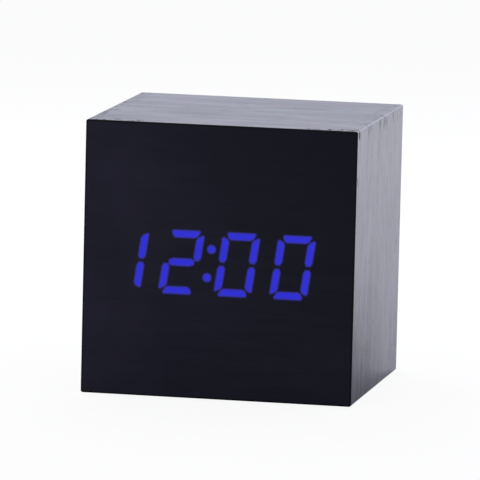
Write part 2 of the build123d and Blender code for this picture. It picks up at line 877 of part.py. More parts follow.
# Four pan head screws, sunk in the cover's corners
with BuildPart() as rear_cover_screws:
    with BuildSketch(upright(screw_seat_y)):
        with Locations((0, face_middle)):
            with GridLocations(screw_columns, screw_rows, 2, 2):
                RegularPolygon(cover_screw_radius, small_sides)
    extrude(amount=screw_seat_y - cover_front_y + cover_screw_length - screw_hole_clearance)
    with BuildSketch(upright(screw_seat_y + pan_head_height)):
        with Locations((0, face_middle)):
            with GridLocations(screw_columns, screw_rows, 2, 2):
                RegularPolygon(pan_head_radius, small_sides)
    extrude(amount=pan_head_height)
rear_cover_screws.part.label = "rear_cover_screws"
export_step(rear_cover_screws.part, "parts/rear_cover_screws.step")

# Three slim cells, each laid the other way round from its neighbour
for number, name in enumerate(cell_names, start=1):
    way = towards(raised_ends[name])
    with BuildPart() as cell:
        with BuildSketch(Plane.YZ.offset(-way * flat_end_x)):
            with Locations((cell_y, cell_rows[name])):
                Circle(cell_radius)
        extrude(amount=way * (cell_length - nub_length))
        with BuildSketch(Plane.YZ.offset(way * (nub_end_x - nub_length))):
            with Locations((cell_y, cell_rows[name])):
                RegularPolygon(nub_radius, small_sides)
        extrude(amount=way * nub_length)
    cell.part.label = f"battery_{number}"
    export_step(cell.part, f"parts/battery_{number}.step")

# Contact strips
for name, (side, raised_cells, flat_cells) in contacts.items():
    way = towards(side)
    with BuildPart() as contact:
        heights = [cell_rows[cell_name] for cell_name in raised_cells + flat_cells]
        with BuildSketch(Plane.YZ.offset(way * end_wall_x)):
            with Locations(*[(cell_y, z) for z in heights]):
                Rectangle(contact_width, contact_width)
            if len(heights) > 1:
                with Locations((cell_y + link_shift, sum(heights) / len(heights))):
                    Rectangle(link_width, cell_pitch)
            else:
                with Locations(((cell_y + tail_end_y) / 2, heights[0])):
                    Rectangle(cell_y - tail_end_y, tail_width)
        extrude(amount=-way * contact_thickness)
        for cell_name in raised_cells:
            with BuildSketch(Plane.YZ.offset(way * (end_wall_x - contact_thickness))):
                with Locations((cell_y, cell_rows[cell_name])):
                    RegularPolygon(dimple_radius, small_sides)
            extrude(amount=-way * dimple_height)
        for cell_name in flat_cells:
            with BuildSketch(Plane.XY.offset(cell_rows[cell_name] - leaf_width / 2)):
                with BuildLine():
                    Polyline(
                        (way * tail_x, cell_y - leaf_root),
                        (way * (flat_end_x + leaf_gap + contact_thickness / 2), cell_y + leaf_peak),
                        (way * (end_wall_x - leaf_standoff), cell_y + leaf_end),
                    )
                trace(line_width=contact_thickness)
            extrude(amount=leaf_width)
    contact.part.label = name
    export_step(contact.part, f"parts/{name}.step")

# Battery door
# A flat lid with a rounded lower edge that turns on two pins. Two slits free a tongue at the upper
# edge, with a nose that clicks under the cover and three ridges for the thumb.
nose_length = 5.0
nose_height = 0.15
nose_depth = 0.6
ridge_length = 6.0
ridge_width = 0.5
ridge_proud = 0.35
ridge_pitch = 1.2
ridge_count = 3
rib_length = 40.0
rib_width = 1.0
rib_depth = 1.8

slit_x = tongue_half + slit_width / 2
ridge_middle_z = door_top_z - (ridge_count + 1) / 2 * ridge_pitch
door_span = door_width + 2 * (door_clearance + door_pin_length - door_pin_clearance)

with BuildPart() as battery_door:
    with BuildSketch(upright(cover_rear_y)):
        with Locations((0, (door_pivot_z + door_top_z) / 2)):
            Rectangle(door_width, door_top_z - door_pivot_z)
        with Locations((-slit_x, door_top_z - slit_length / 2), (slit_x, door_top_z - slit_length / 2)):
            Rectangle(slit_width, slit_length, mode=Mode.SUBTRACT)
    extrude(amount=door_thickness)
    door_corners = battery_door.edges().filter_by(Axis.Y).group_by(Axis.Z)[-1].sort_by(Axis.X)
    fillet([door_corners[0], door_corners[-1]], door_corner_radius)
    with BuildSketch(Plane.YZ.offset(-door_width / 2)):
        with Locations((door_pivot_y, door_pivot_z)):
            Circle(knuckle_radius)
    extrude(amount=door_width)
    with BuildSketch(Plane.YZ.offset(-door_span / 2)):
        with Locations((door_pivot_y, door_pivot_z)):
            Circle(door_pin_radius)
    extrude(amount=door_span)
    # Ribs inside the lid lie in the valleys between the cells
    with BuildSketch(upright(door_inner_y)):
        with Locations(*[(0, bay_bottom_z + row * cell_pitch) for row in range(1, cell_count)]):
            Rectangle(rib_length, rib_width)
    extrude(amount=rib_depth)
    # Thumb ridges and nose on the tongue
    with BuildSketch(upright(cover_rear_y + ridge_proud)):
        with Locations((0, ridge_middle_z)):
            with GridLocations(ridge_pitch, ridge_pitch, 1, ridge_count):
                Rectangle(ridge_length, ridge_width)
    extrude(amount=ridge_proud)
    with BuildSketch(upright(door_inner_y + nose_depth)):
        with Locations((0, door_top_z + nose_height / 2)):
            Rectangle(nose_length, nose_height)
    extrude(amount=nose_depth)
battery_door.part.label = "battery_door"
export_step(battery_door.part, "parts/battery_door.step")

# Keys
# Each cap has a round head, a square flange that keeps it in the cover and stops it turning, and a
# square stem that meets its switch.
for name, key_x in zip(key_names, key_places):
    with BuildPart() as key:
        with BuildSketch(upright(key_rear_y)):
            with Locations((key_x, strip_z)):
                Circle(key_radius)
        extrude(amount=key_rear_y - key_flange_rear_y)
        with BuildSketch(upright(key_flange_rear_y)):
            with Locations((key_x, strip_z)):
                Rectangle(key_flange_width, key_flange_width)
        extrude(amount=key_flange_thickness)
        with BuildSketch(upright(key_flange_rear_y - key_flange_thickness)):
            with Locations((key_x, strip_z)):
                Rectangle(key_stem_width, key_stem_width)
        extrude(amount=key_stem_length)
    key.part.label = f"{name}_button"
    export_step(key.part, f"parts/{name}_button.step")

# The moving plunger of each key's switch
for name, key_x in zip(key_names, key_places):
    with BuildPart() as plunger:
        with BuildSketch(upright(plunger_top_y)):
            with Locations((key_x, strip_z)):
                RegularPolygon(plunger_radius, small_sides)
        extrude(amount=plunger_proud + plunger_sunk)
    plunger.part.label = f"{name}_switch_plunger"
    export_step(plunger.part, f"parts/{name}_switch_plunger.step")

# Switch bodies, square with a round well for the plunger
switch_corner = 0.5

with BuildPart() as switch_bodies:
    with BuildSketch(upright(switch_rear_y)) as switch_outline:
        with Locations(*[(x, strip_z) for x in key_places]):
            Rectangle(switch_width, switch_width)
        chamfer(switch_outline.vertices(), switch_corner)
    extrude(amount=switch_height)
    with BuildSketch(upright(switch_rear_y)):
        with Locations(*[(x, strip_z) for x in key_places]):
            RegularPolygon(plunger_radius + plunger_clearance, small_sides)
    extrude(amount=plunger_sunk + plunger_room, mode=Mode.SUBTRACT)
switch_bodies.part.label = "switch_bodies"
export_step(switch_bodies.part, "parts/switch_bodies.step")

# Key board, screwed to two bosses of the rear cover
key_board_width = key_board_right_x - key_board_left_x

with BuildPart() as key_board:
    with BuildSketch(upright(key_board_rear_y)):
        with Locations(((key_board_left_x + key_board_right_x) / 2, strip_z - key_board_drop)):
            Rectangle(key_board_width, key_board_height)
        with Locations(*[(x, boss_z) for x in boss_places]):
            RegularPolygon(board_hole_radius, small_sides, mode=Mode.SUBTRACT)
    extrude(amount=key_board_thickness)
key_board.part.label = "key_board"
export_step(key_board.part, "parts/key_board.step")

with BuildPart() as key_board_screws:
    with BuildSketch(upright(key_board_rear_y + key_screw_length)):
        with Locations(*[(x, boss_z) for x in boss_places]):
            RegularPolygon(board_screw_radius, small_sides)
    extrude(amount=key_screw_length + key_board_thickness)
    with BuildSketch(upright(key_board_front_y)):
        with Locations(*[(x, boss_z) for x in boss_places]):
            RegularPolygon(pan_head_radius, small_sides)
    extrude(amount=pan_head_height)
key_board_screws.part.label = "key_board_screws"
export_step(key_board_screws.part, "parts/key_board_screws.step")

# Power socket, a square body on the key board with a round nose in the cover
socket_nose_y = cover_rear_y - socket_nose_sunk
socket_bore_floor_y = socket_nose_y - socket_bore_depth

with BuildPart() as power_socket:
    with BuildSketch(upright(cover_front_y)):
        with Locations((socket_x, strip_z)):
            Rectangle(socket_width, socket_width)
    extrude(amount=cover_front_y - key_board_rear_y)
    with BuildSketch(upright(socket_nose_y)):
        with Locations((socket_x, strip_z)):
            Circle(socket_nose_radius)
    extrude(amount=socket_nose_y - cover_front_y)
    with BuildSketch(upright(socket_nose_y)):
        with Locations((socket_x, strip_z)):
            Circle(socket_bore_radius)
    extrude(amount=socket_bore_depth, mode=Mode.SUBTRACT)
power_socket.part.label = "power_socket"
export_step(power_socket.part, "parts/power_socket.step")

with BuildPart() as power_socket_pin:
    with BuildSketch(upright(cover_rear_y - socket_pin_sunk)):
        with Locations((socket_x, strip_z)):
            Circle(socket_pin_radius)
    extrude(amount=cover_rear_y - socket_pin_sunk - socket_bore_floor_y)
power_socket_pin.part.label = "power_socket_pin"
export_step(power_socket_pin.part, "parts/power_socket_pin.step")

# Leads from the two contact tails to the battery header, and one on across the clock
# The long lead's middle points are shares of the way from its first bend to its last.
lead_radius = 0.55
lead_faces = 6
lead_spread = 1.2
lead_exit = 4.5
lead_entry = 7.0
lead_bend_radius = 3.5
long_lead_bend_radius = 6.0
long_lead_high_shares = (0.312, 0.238, 0.237)
long_lead_low_shares = (0.847, 0.62, 0.7275)

red_start = Vector(-tail_x, tail_end_y, cell_rows[tails["left"]])
red_end = Vector(battery_header_x - lead_spread, header_floor_y, battery_header_z)
black_start = Vector(tail_x, tail_end_y, cell_rows[tails["right"]])
black_end = Vector(battery_header_x + lead_spread, header_floor_y, battery_header_z)
first_bend = black_start - Vector(0, lead_exit, 0)
last_bend = black_end + Vector(0, lead_entry, 0)
long_run = last_bend - first_bend


def along_run(shares):
    """A point of the long lead, given as shares of its middle run along X, Y and Z."""
    share_x, share_y, share_z = shares
    return first_bend + Vector(share_x * long_run.X, share_y * long_run.Y, share_z * long_run.Z)


lead_routes = {
    "red_battery_lead": (
        [red_start, red_start - Vector(0, lead_exit, 0), red_end + Vector(0, lead_entry, 0), red_end],
        [lead_bend_radius, lead_bend_radius],
    ),
    "black_battery_lead": (
        [
            black_start,
            first_bend,
            along_run(long_lead_high_shares),
            along_run(long_lead_low_shares),
            last_bend,
            black_end,
        ],
        [lead_bend_radius, long_lead_bend_radius, long_lead_bend_radius, lead_bend_radius],
    ),
}

for name, (route, bends) in lead_routes.items():
    with BuildPart() as lead:
        with BuildLine() as lead_line:
            FilletPolyline(*route, radius=bends)
        lead_path = lead_line.wires()[0]
        with BuildSketch(Plane(origin=lead_path @ 0, z_dir=lead_path % 0)):
            RegularPolygon(lead_radius, lead_faces)
        sweep(path=lead_path)
    lead.part.label = name
    export_step(lead.part, f"parts/{name}.step")

# Flat ribbon from the key board to the main board
# Its two bends lie at shares of the way between the boards.
ribbon_width = 7.6
ribbon_thickness = 0.9
ribbon_exit_share = 0.29
ribbon_entry_share = 0.6
ribbon_bend_radius = 4.0

ribbon_run = header_floor_y - key_board_front_y

with BuildPart() as key_ribbon:
    with BuildSketch(Plane.YZ.offset(ribbon_header_x - ribbon_width / 2)):
        with BuildLine():
            FilletPolyline(
                (key_board_front_y, strip_z),
                (key_board_front_y + ribbon_exit_share * ribbon_run, strip_z),
                (key_board_front_y + ribbon_entry_share * ribbon_run, ribbon_header_z),
                (header_floor_y, ribbon_header_z),
                radius=ribbon_bend_radius,
            )
        trace(line_width=ribbon_thickness)
    extrude(amount=ribbon_width)
key_ribbon.part.label = "key_ribbon"
export_step(key_ribbon.part, "parts/key_ribbon.step")
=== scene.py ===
from math import atan2, cos, dist, pi, radians, sin

import bmesh
import bpy
from mathutils import Matrix, Vector


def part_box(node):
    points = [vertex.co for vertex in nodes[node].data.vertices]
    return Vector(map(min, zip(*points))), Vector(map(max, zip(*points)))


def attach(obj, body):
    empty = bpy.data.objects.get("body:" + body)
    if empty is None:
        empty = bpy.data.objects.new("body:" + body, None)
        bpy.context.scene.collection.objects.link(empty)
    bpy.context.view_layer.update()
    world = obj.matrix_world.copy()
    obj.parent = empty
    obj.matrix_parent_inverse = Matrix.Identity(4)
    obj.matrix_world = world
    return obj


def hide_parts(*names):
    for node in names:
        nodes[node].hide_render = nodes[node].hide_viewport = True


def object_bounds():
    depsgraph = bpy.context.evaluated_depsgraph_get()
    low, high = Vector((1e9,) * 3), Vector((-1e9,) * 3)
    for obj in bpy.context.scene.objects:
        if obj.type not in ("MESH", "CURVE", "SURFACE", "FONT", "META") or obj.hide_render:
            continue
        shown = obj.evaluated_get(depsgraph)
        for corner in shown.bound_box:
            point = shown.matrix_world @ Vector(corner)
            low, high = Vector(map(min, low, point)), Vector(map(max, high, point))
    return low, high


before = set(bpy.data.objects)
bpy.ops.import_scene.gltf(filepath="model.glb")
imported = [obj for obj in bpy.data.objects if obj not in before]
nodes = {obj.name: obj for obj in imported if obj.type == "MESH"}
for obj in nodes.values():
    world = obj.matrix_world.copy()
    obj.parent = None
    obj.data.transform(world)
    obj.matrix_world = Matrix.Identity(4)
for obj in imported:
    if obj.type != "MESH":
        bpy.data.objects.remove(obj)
cad_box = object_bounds()

# Case boards
# Four sides of fibreboard, sawn with mitred ends and glued into a square tube, and a front board let
# into it. The rear edges of the four show round the cover: painted black, and a little furry where
# the fibres drank the paint.
board_paint = (0.018, 0.017, 0.018, 1)
board_fibre = (0.050, 0.043, 0.036, 1)
board_fibre_scale = 900
bare_fibre_range = (0.52, 0.72)
bare_fibre_share = 0.6
board_roughness = 0.85
board_fibre_height = 0.00006


def feed(tree, node, inputs):
    """Give a shader node its inputs, each a value or a socket to link."""
    for name, value in inputs.items():
        if isinstance(value, bpy.types.NodeSocket):
            tree.links.new(value, node.inputs[name])
        else:
            node.inputs[name].default_value = value


def place(tree, kind, inputs=None, **settings):
    """Add a shader node, with its settings and its inputs."""
    made = tree.nodes.new(kind)
    for name, value in settings.items():
        setattr(made, name, value)
    feed(tree, made, inputs or {})
    return made


def start_finish(name):
    """A new material with its shader, and where each point of the clock lies, in metres."""
    material = bpy.data.materials.new(name)
    material.use_nodes = True
    tree = material.node_tree
    shader = tree.nodes["Principled BSDF"]
    where = place(tree, "ShaderNodeTexCoord").outputs["Object"]
    return material, tree, shader, where


def blend_colours(tree, share, first, second):
    """A colour between two others, by the share of the second."""
    mix = place(tree, "ShaderNodeMix", {0: share, 6: first, 7: second}, data_type="RGBA")
    return mix.outputs[2]


def stretch_range(tree, value, low, high, new_low, new_high):
    """A value moved from one range to another and held inside it."""
    steps = {"Value": value, 1: low, 2: high, 3: new_low, 4: new_high}
    return place(tree, "ShaderNodeMapRange", steps).outputs[0]


def noise(tree, where, scale, detail, roughness=0.5):
    """Soft random patches over the surface, from 0 to 1."""
    inputs = {"Vector": where, "Scale": scale, "Detail": detail, "Roughness": roughness}
    return place(tree, "ShaderNodeTexNoise", inputs).outputs[0]


def finish_surface(tree, shader, colour, roughness, height, depth):
    """Colour and roughen the surface, and raise it by a height from 0 to 1 times a depth in metres."""
    raised = place(tree, "ShaderNodeBump", {"Height": height, "Distance": depth}).outputs["Normal"]
    feed(tree, shader, {"Base Color": colour, "Roughness": roughness, "Normal": raised})


def dress(node_names, material):
    """Give CAD nodes their material."""
    for name in node_names:
        mesh = nodes[name].data
        mesh.materials.clear()
        mesh.materials.append(material)


def fibreboard():
    """Pressed wood fibre under one thin coat of black paint."""
    material, tree, shader, where = start_finish("painted_fibreboard")
    fibres = noise(tree, where, board_fibre_scale, detail=4)
    bare = stretch_range(tree, fibres, *bare_fibre_range, 0, bare_fibre_share)
    colour = blend_colours(tree, bare, board_paint, board_fibre)
    finish_surface(tree, shader, colour, board_roughness, fibres, board_fibre_height)
    return material


dress(["top_board", "bottom_board", "left_board", "right_board", "front_board"], fibreboard())

# Corner blocks
# Four square sticks of plain sawn softwood, glued into the rear corners of the tube. The cover's
# screws bite into their ends.
sapwood = (0.58, 0.42, 0.25, 1)
summer_wood = (0.40, 0.25, 0.12, 1)
ring_scale = 1 / 0.0126
ring_stretch = (1, 0.06, 1)
ring_wobble = 2.2
summer_wood_range = (0.55, 1)
saw_mark_scale = 2400
usual_noise = (0.3, 0.7)
sawn_roughness = (0.68, 0.86)
saw_mark_height = 0.00004


def work_out_vector(tree, operation, first, second=(0, 0, 0)):
    """The result of one sum on two vectors, either of which may be a socket."""
    result = place(tree, "ShaderNodeVectorMath", {0: first, 1: second}, operation=operation).outputs
    return result["Value"] if operation in ("DOT_PRODUCT", "DISTANCE", "LENGTH") else result["Vector"]


def sawn_softwood():
    """Pale wood whose darker growth rings run along the stick, rough from the saw."""
    material, tree, shader, where = start_finish("sawn_softwood")
    drawn = work_out_vector(tree, "MULTIPLY", where, ring_stretch)
    ring_inputs = {"Vector": drawn, "Scale": ring_scale, "Distortion": ring_wobble, "Detail": 2}
    rings = place(tree, "ShaderNodeTexWave", ring_inputs, bands_direction="DIAGONAL").outputs["Fac"]
    colour = blend_colours(tree, stretch_range(tree, rings, *summer_wood_range, 0, 1), sapwood, summer_wood)
    saw_marks = noise(tree, where, saw_mark_scale, detail=3)
    roughness = stretch_range(tree, saw_marks, *usual_noise, *sawn_roughness)
    finish_surface(tree, shader, colour, roughness, saw_marks, saw_mark_height)
    return material


dress(["corner_blocks"], sawn_softwood())

# Case veneer
# Thin sheets of real wood, glued to all four sides of the tube, stained and given one satin coat. Their
# colour is painted charcoal, paler than the near black face, as painted sheen of the coat at low angles.
# The grain runs across the top and underside and up the two sides. A pale painted highlight runs along
# the long edges and, fainter, round the front rim, broken into patches, and painted shade darkens them
# low down near the front.
# The stain's tones, painted paler than the dark stain itself as painted sheen of the satin coat
stain_and_sheen_dark = (0.063, 0.066, 0.082, 1)
stain_and_sheen_pale = (0.192, 0.198, 0.230, 1)
stain_and_sheen_violet = (0.152, 0.128, 0.180, 1)
violet_patches = (110, 110, 70)
violet_range = (0.42, 0.62)
violet_share = 0.6
pore_colour = (0.030, 0.030, 0.042, 1)
# Colour of the painted highlight on the long edges and front rim
edge_highlight_colour = (0.42, 0.43, 0.49, 1)
bruise_colour = (0.035, 0.036, 0.050, 1)
# Colour of the painted shade low down near the front
low_front_shade_colour = (0.020, 0.020, 0.030, 1)
# Where the painted edge highlight lies, and how it is broken into patches
edge_highlight_width = 0.0004
edge_highlight_range = (0.02, 0.25)
rim_highlight_width = 0.0011
rim_highlight_share = 0.3
highlight_patches = (160, 160, 160)
highlight_patch_range = (0.3, 0.62)
least_highlight_share = 0.35
bruise_reach = 0.008
bruise_streaks = (600, 420, 170)
bruise_range = (0.53, 0.62)
edge_bruise_share = 0.3
# Where the painted low front shade lies, and the roughness added there
low_front_shade_height = 0.031
low_front_shade_reach = 0.045
low_front_shade_blotches = (300, 300, 45)
low_front_shade_blotch_shares = (0.65, 1.1)
low_front_shade_roughness = 0.33
bruise_roughness = 0.55
polished_range = (0.15, 0.85)
level_roughness = (0.68, 0.56)
upright_roughness = (0.24, 0.07)
case_grain_height = 0.00002

streak_roughness = 0.62
pore_streaks = (210, 3300, 3300)
pore_range = (0.64, 0.74)
# For each width of streak: its stretch, its detail and its share of the tone
grain_layers = (
    ((90, 2100, 2100), 5, 0.28),
    ((60, 520, 520), 3, 0.26),
    ((42, 190, 190), 3, 0.28),
    ((25, 50, 50), 3, 0.18),
)

case_low, case_high = cad_box
middle_height = (case_low[2] + case_high[2]) / 2
half_height = case_high[2] - middle_height
half_width = case_high[0]


def work_out(tree, operation, first, second=0.0):
    """The result of one sum on two values, either of which may be a socket."""
    return place(tree, "ShaderNodeMath", {0: first, 1: second}, operation=operation).outputs[0]


def split_axes(tree, where):
    """How far along X, Y and Z a point lies."""
    return place(tree, "ShaderNodeSeparateXYZ", {0: where}).outputs


def past(tree, value, start, width):
    """0 up to a start, and 1 from there on, over a given width."""
    return stretch_range(tree, value, start, start + width, 0, 1)


def streaks(tree, where, stretch, detail):
    """Noise drawn out by a different amount along each axis."""
    return noise(tree, work_out_vector(tree, "MULTIPLY", where, stretch), 1, detail, streak_roughness)


def start_group(name, settings=None):
    """A new shared effect, with what it takes in: where a point lies, and any settings."""
    group = bpy.data.node_groups.new(name, "ShaderNodeTree")
    group.interface.new_socket("Place", in_out="INPUT", socket_type="NodeSocketVector")
    for setting, value in (settings or {}).items():
        socket = group.interface.new_socket(setting, in_out="INPUT", socket_type="NodeSocketFloat")
        socket.default_value = value
    return group, group.nodes.new("NodeGroupInput").outputs


def finish_group(group, results):
    """Let a shared effect put out its results, which are values over the surface."""
    for name in results:
        group.interface.new_socket(name, in_out="OUTPUT", socket_type="NodeSocketFloat")
    feed(group, group.nodes.new("NodeGroupOutput"), results)
    return group


def use_group(tree, group, inputs):
    """What a shared effect puts out in a material."""
    return place(tree, "ShaderNodeGroup", inputs, node_tree=group).outputs


def grain_group():
    """Straight wood grain along X: fine fibres, wider streaks and bands, and short open pores."""
    group, given = start_group("straight_grain")
    tone = 0
    for stretch, detail, weight in grain_layers:
        layer = stretch_range(group, streaks(group, given["Place"], stretch, detail), *usual_noise, 0, weight)
        tone = work_out(group, "ADD", tone, layer)
    pores = stretch_range(group, streaks(group, given["Place"], pore_streaks, 1), *pore_range, 0, 1)
    return finish_group(group, {"Tone": tone, "Pores": pores})


def painted_edge_highlight(tree, where, axes, across, upright):
    """Painted highlight along the four long edges and, more faintly, round the front rim, in patches."""
    near_side = past(tree, across, half_width - edge_highlight_width, edge_highlight_width)
    near_level = past(tree, upright, half_height - edge_highlight_width, edge_highlight_width)
    on_edge = work_out(tree, "MULTIPLY", near_side, near_level)
    long_edge = stretch_range(tree, on_edge, *edge_highlight_range, 0, 1)
    rim = stretch_range(tree, axes["Y"], case_low[1], case_low[1] + rim_highlight_width, rim_highlight_share, 0)
    patches = streaks(tree, where, highlight_patches, 3)
    patchy = stretch_range(tree, patches, *highlight_patch_range, least_highlight_share, 1)
    return work_out(tree, "MULTIPLY", work_out(tree, "MAXIMUM", long_edge, rim), patchy)


def bruised_dark(tree, where, axes, across):
    """Short dents at the upper front corners and, more thinly, along the two upper long edges."""
    front = case_low[1]
    at_front = stretch_range(tree, axes["Y"], front + bruise_reach / 4, front + bruise_reach / 2, 1, 0)
    from_top = work_out(tree, "SUBTRACT", case_high[2], axes["Z"])
    from_edge = work_out(tree, "ADD", from_top, work_out(tree, "SUBTRACT", half_width, across))
    at_corner = stretch_range(tree, from_edge, bruise_reach, 2 * bruise_reach, 1, 0)
    by_edge = stretch_range(tree, from_edge, bruise_reach / 5, bruise_reach / 2, edge_bruise_share, 0)
    near = work_out(tree, "MAXIMUM", work_out(tree, "MULTIPLY", at_front, at_corner), by_edge)
    dents = stretch_range(tree, streaks(tree, where, bruise_streaks, 2), *bruise_range, 0, 1)
    return work_out(tree, "MULTIPLY", near, dents)


def painted_low_front_shade(tree, where, axes):
    """Painted shade towards the foot and the front, in blotches."""
    foot = stretch_range(tree, axes["Z"], case_low[2], case_low[2] + low_front_shade_height, 1, 0)
    forward = stretch_range(tree, axes["Y"], case_low[1], case_low[1] + low_front_shade_reach, 1, 0)
    blotches = streaks(tree, where, low_front_shade_blotches, 3)
    blotchy = stretch_range(tree, blotches, *usual_noise, *low_front_shade_blotch_shares)
    return work_out(tree, "MULTIPLY", work_out(tree, "MULTIPLY", foot, forward), blotchy)


def off_middle(tree, axes):
    """How far to the side of the middle, and above or below it, a point lies."""
    across = work_out(tree, "ABSOLUTE", axes["X"])
    upright = work_out(tree, "ABSOLUTE", work_out(tree, "SUBTRACT", axes["Z"], middle_height))
    return across, upright


def wear_and_painted_light_group():
    """Painted edge highlight, bruises near the front corners, and painted shade low at the front."""
    group, given = start_group("case_wear_and_painted_light")
    where = given["Place"]
    axes = split_axes(group, where)
    across, upright = off_middle(group, axes)
    return finish_group(group, {
        "Edge highlight": painted_edge_highlight(group, where, axes, across, upright),
        "Bruised": bruised_dark(group, where, axes, across),
        "Low front shade": painted_low_front_shade(group, where, axes),
    })


straight_grain = grain_group()
case_wear_and_painted_light = wear_and_painted_light_group()


def grain_on(tree, where, turn):
    """Straight grain over the surface, after the turn that lays X along it."""
    turned = place(tree, "ShaderNodeMapping", {"Vector": where, "Rotation": turn}).outputs[0]
    grain = use_group(tree, straight_grain, {"Place": turned})
    return grain["Tone"], grain["Pores"]


def case_veneer(name, turn, roughness):
    """Stained veneer with painted sheen, a painted edge highlight, bruises and painted shade."""
    material, tree, shader, where = start_finish(name)
    tone, pores = grain_on(tree, where, turn)
    # wear holds the painted edge highlight and painted low front shade, besides the bruises
    wear = use_group(tree, case_wear_and_painted_light, {"Place": where})
    colour = blend_colours(tree, tone, stain_and_sheen_dark, stain_and_sheen_pale)
    violet = stretch_range(tree, streaks(tree, where, violet_patches, 3), *violet_range, 0, violet_share)
    colour = blend_colours(tree, violet, colour, stain_and_sheen_violet)
    colour = blend_colours(tree, pores, colour, pore_colour)
    colour = blend_colours(tree, wear["Low front shade"], colour, low_front_shade_colour)
    colour = blend_colours(tree, wear["Bruised"], colour, bruise_colour)
    colour = blend_colours(tree, wear["Edge highlight"], colour, edge_highlight_colour)
    gloss = stretch_range(tree, tone, *polished_range, *roughness)
    for mask, dulling in (("Low front shade", low_front_shade_roughness), ("Bruised", bruise_roughness)):
        gloss = work_out(tree, "ADD", gloss, work_out(tree, "MULTIPLY", wear[mask], dulling))
    height = work_out(tree, "SUBTRACT", work_out(tree, "SUBTRACT", tone, pores), wear["Bruised"])
    finish_surface(tree, shader, colour, gloss, height, case_grain_height)
    return material


as_laid = (0, 0, 0)
stood_up = (0, radians(90), 0)
level_veneer = case_veneer("veneer_grain_across", as_laid, level_roughness)
upright_veneer = case_veneer("veneer_grain_upright", stood_up, upright_roughness)
dress(["top_veneer", "bottom_veneer"], level_veneer)
dress(["left_veneer", "right_veneer"], upright_veneer)

# Front veneer
# One sheet, stained almost black, covers the whole face and hides the display until a stroke lights
# up behind it. The light spreads a little in the wood, so a stroke fades past its own sides. Its colour
# is painted lighter towards the left, in patches, as painted light, and darker at the upper right as
# painted shade, and darkest on the eased rim, also as painted shade.
face_dark = (0.0043, 0.0042, 0.0102, 1)
face_pale = (0.0134, 0.0130, 0.0234, 1)
# Painted light towards the left and painted shade at the upper right
face_painted_light = (0.0185, 0.0170, 0.0320, 1)
face_painted_shade = (0.0036, 0.0035, 0.0090, 1)
# Painted shade on the eased rim of the face
face_rim_shade_colour = (0.0008, 0.0008, 0.0014, 1)
face_rim_shade_width = 0.0005
# Shares and patches of the painted light and shade on the face
painted_light_share = 0.8
painted_shade_share = 0.9
painted_light_patches = (75, 75, 75)
painted_light_patch_range = (0.3, 0.65)
least_painted_light_share = 0.4
face_roughness = 0.6
face_specular = 0.12
face_grain_height = 0.00004
lit_colour = (0.022, 0.022, 0.66, 1)
lit_shaded_colour = (0.020, 0.020, 0.60, 1)
lit_edge_colour = (0.070, 0.060, 0.66, 1)
unlit = (0, 0, 0, 1)
lit_strokes = ["lit_hour_tens", "lit_hour_units", "lit_colon", "lit_minute_tens", "lit_minute_units"]
shortest_side = 0.0003
full_glow_depth = 0.00050
glow_reach = 0.00033
same_place = 0.000001


def separate_solids(node_name):
    """The corners of each separate solid of a CAD node."""
    shape = bmesh.new()
    shape.from_mesh(nodes[node_name].data)
    bmesh.ops.remove_doubles(shape, verts=shape.verts, dist=same_place)
    found = set()
    solids = []
    for start in shape.verts:
        if start in found:
            continue
        reached = [start]
        found.add(start)
        for vert in reached:
            for edge in vert.link_edges:
                other = edge.other_vert(vert)
                if other not in found:
                    reached.append(other)
                    found.add(other)
        solids.append([vert.co.copy() for vert in reached])
    shape.free()
    return solids


def front_outline(corners):
    """The corners of a flat solid's front, in order round it, as pairs across and up."""
    front = min(spot.y for spot in corners)
    flat = [(spot.x, spot.z) for spot in corners if spot.y < front + same_place]
    middle = [sum(values) / len(flat) for values in zip(*flat)]
    return sorted(flat, key=lambda spot: atan2(spot[1] - middle[1], spot[0] - middle[0]))


def outside_stroke(tree, on_face, outline):
    """How far outside a stroke's straight sides a point lies, or inside where the result is negative."""
    outside = None
    for (x, z), (next_x, next_z) in zip(outline, outline[1:] + outline[:1]):
        length = dist((x, z), (next_x, next_z))
        if length < shortest_side:
            continue
        out_x, out_z = (next_z - z) / length, (x - next_x) / length
        edge = (out_x, -out_x * x - out_z * z, out_z)
        past_edge = work_out_vector(tree, "DOT_PRODUCT", on_face, edge)
        outside = past_edge if outside is None else work_out(tree, "MAXIMUM", outside, past_edge)
    return outside


def outside_dot(tree, on_face, outline):
    """How far outside a round dot a point lies, or inside where the result is negative."""
    (left, low), (right, high) = ([pick(values) for values in zip(*outline)] for pick in (min, max))
    away = work_out_vector(tree, "DISTANCE", on_face, ((left + right) / 2, 1, (low + high) / 2))
    return work_out(tree, "SUBTRACT", away, (high - low) / 2)


def light_through_group():
    """The light that comes through: full in the middle of each lit stroke, and fading past its sides."""
    group, given = start_group("light_through_veneer")
    flatten = {0: given["Place"], 1: (1, 0, 1), 2: (0, 1, 0)}
    on_face = place(group, "ShaderNodeVectorMath", flatten, operation="MULTIPLY_ADD").outputs[0]
    total = 0
    for name in lit_strokes:
        outside_of = outside_dot if name == "lit_colon" else outside_stroke
        for corners in separate_solids(name):
            outside = outside_of(group, on_face, front_outline(corners))
            fade_inputs = {"Value": outside, 1: -full_glow_depth, 2: glow_reach, 3: 1, 4: 0}
            fade = place(group, "ShaderNodeMapRange", fade_inputs, interpolation_type="SMOOTHSTEP")
            total = work_out(group, "ADD", total, fade.outputs[0])
    return finish_group(group, {"Glow": stretch_range(group, total, 0, 1, 0, 1)})


light_through = light_through_group()


def let_light_through(tree, shader, where, tone):
    """Make veneer glow where a stroke behind it is lit, with a trace of the grain over it."""
    light = use_group(tree, light_through, {"Place": where})["Glow"]
    core = blend_colours(tree, tone, lit_shaded_colour, lit_colour)
    spread = blend_colours(tree, light, lit_edge_colour, core)
    glow = blend_colours(tree, light, unlit, spread)
    feed(tree, shader, {"Emission Color": glow, "Emission Strength": 1})


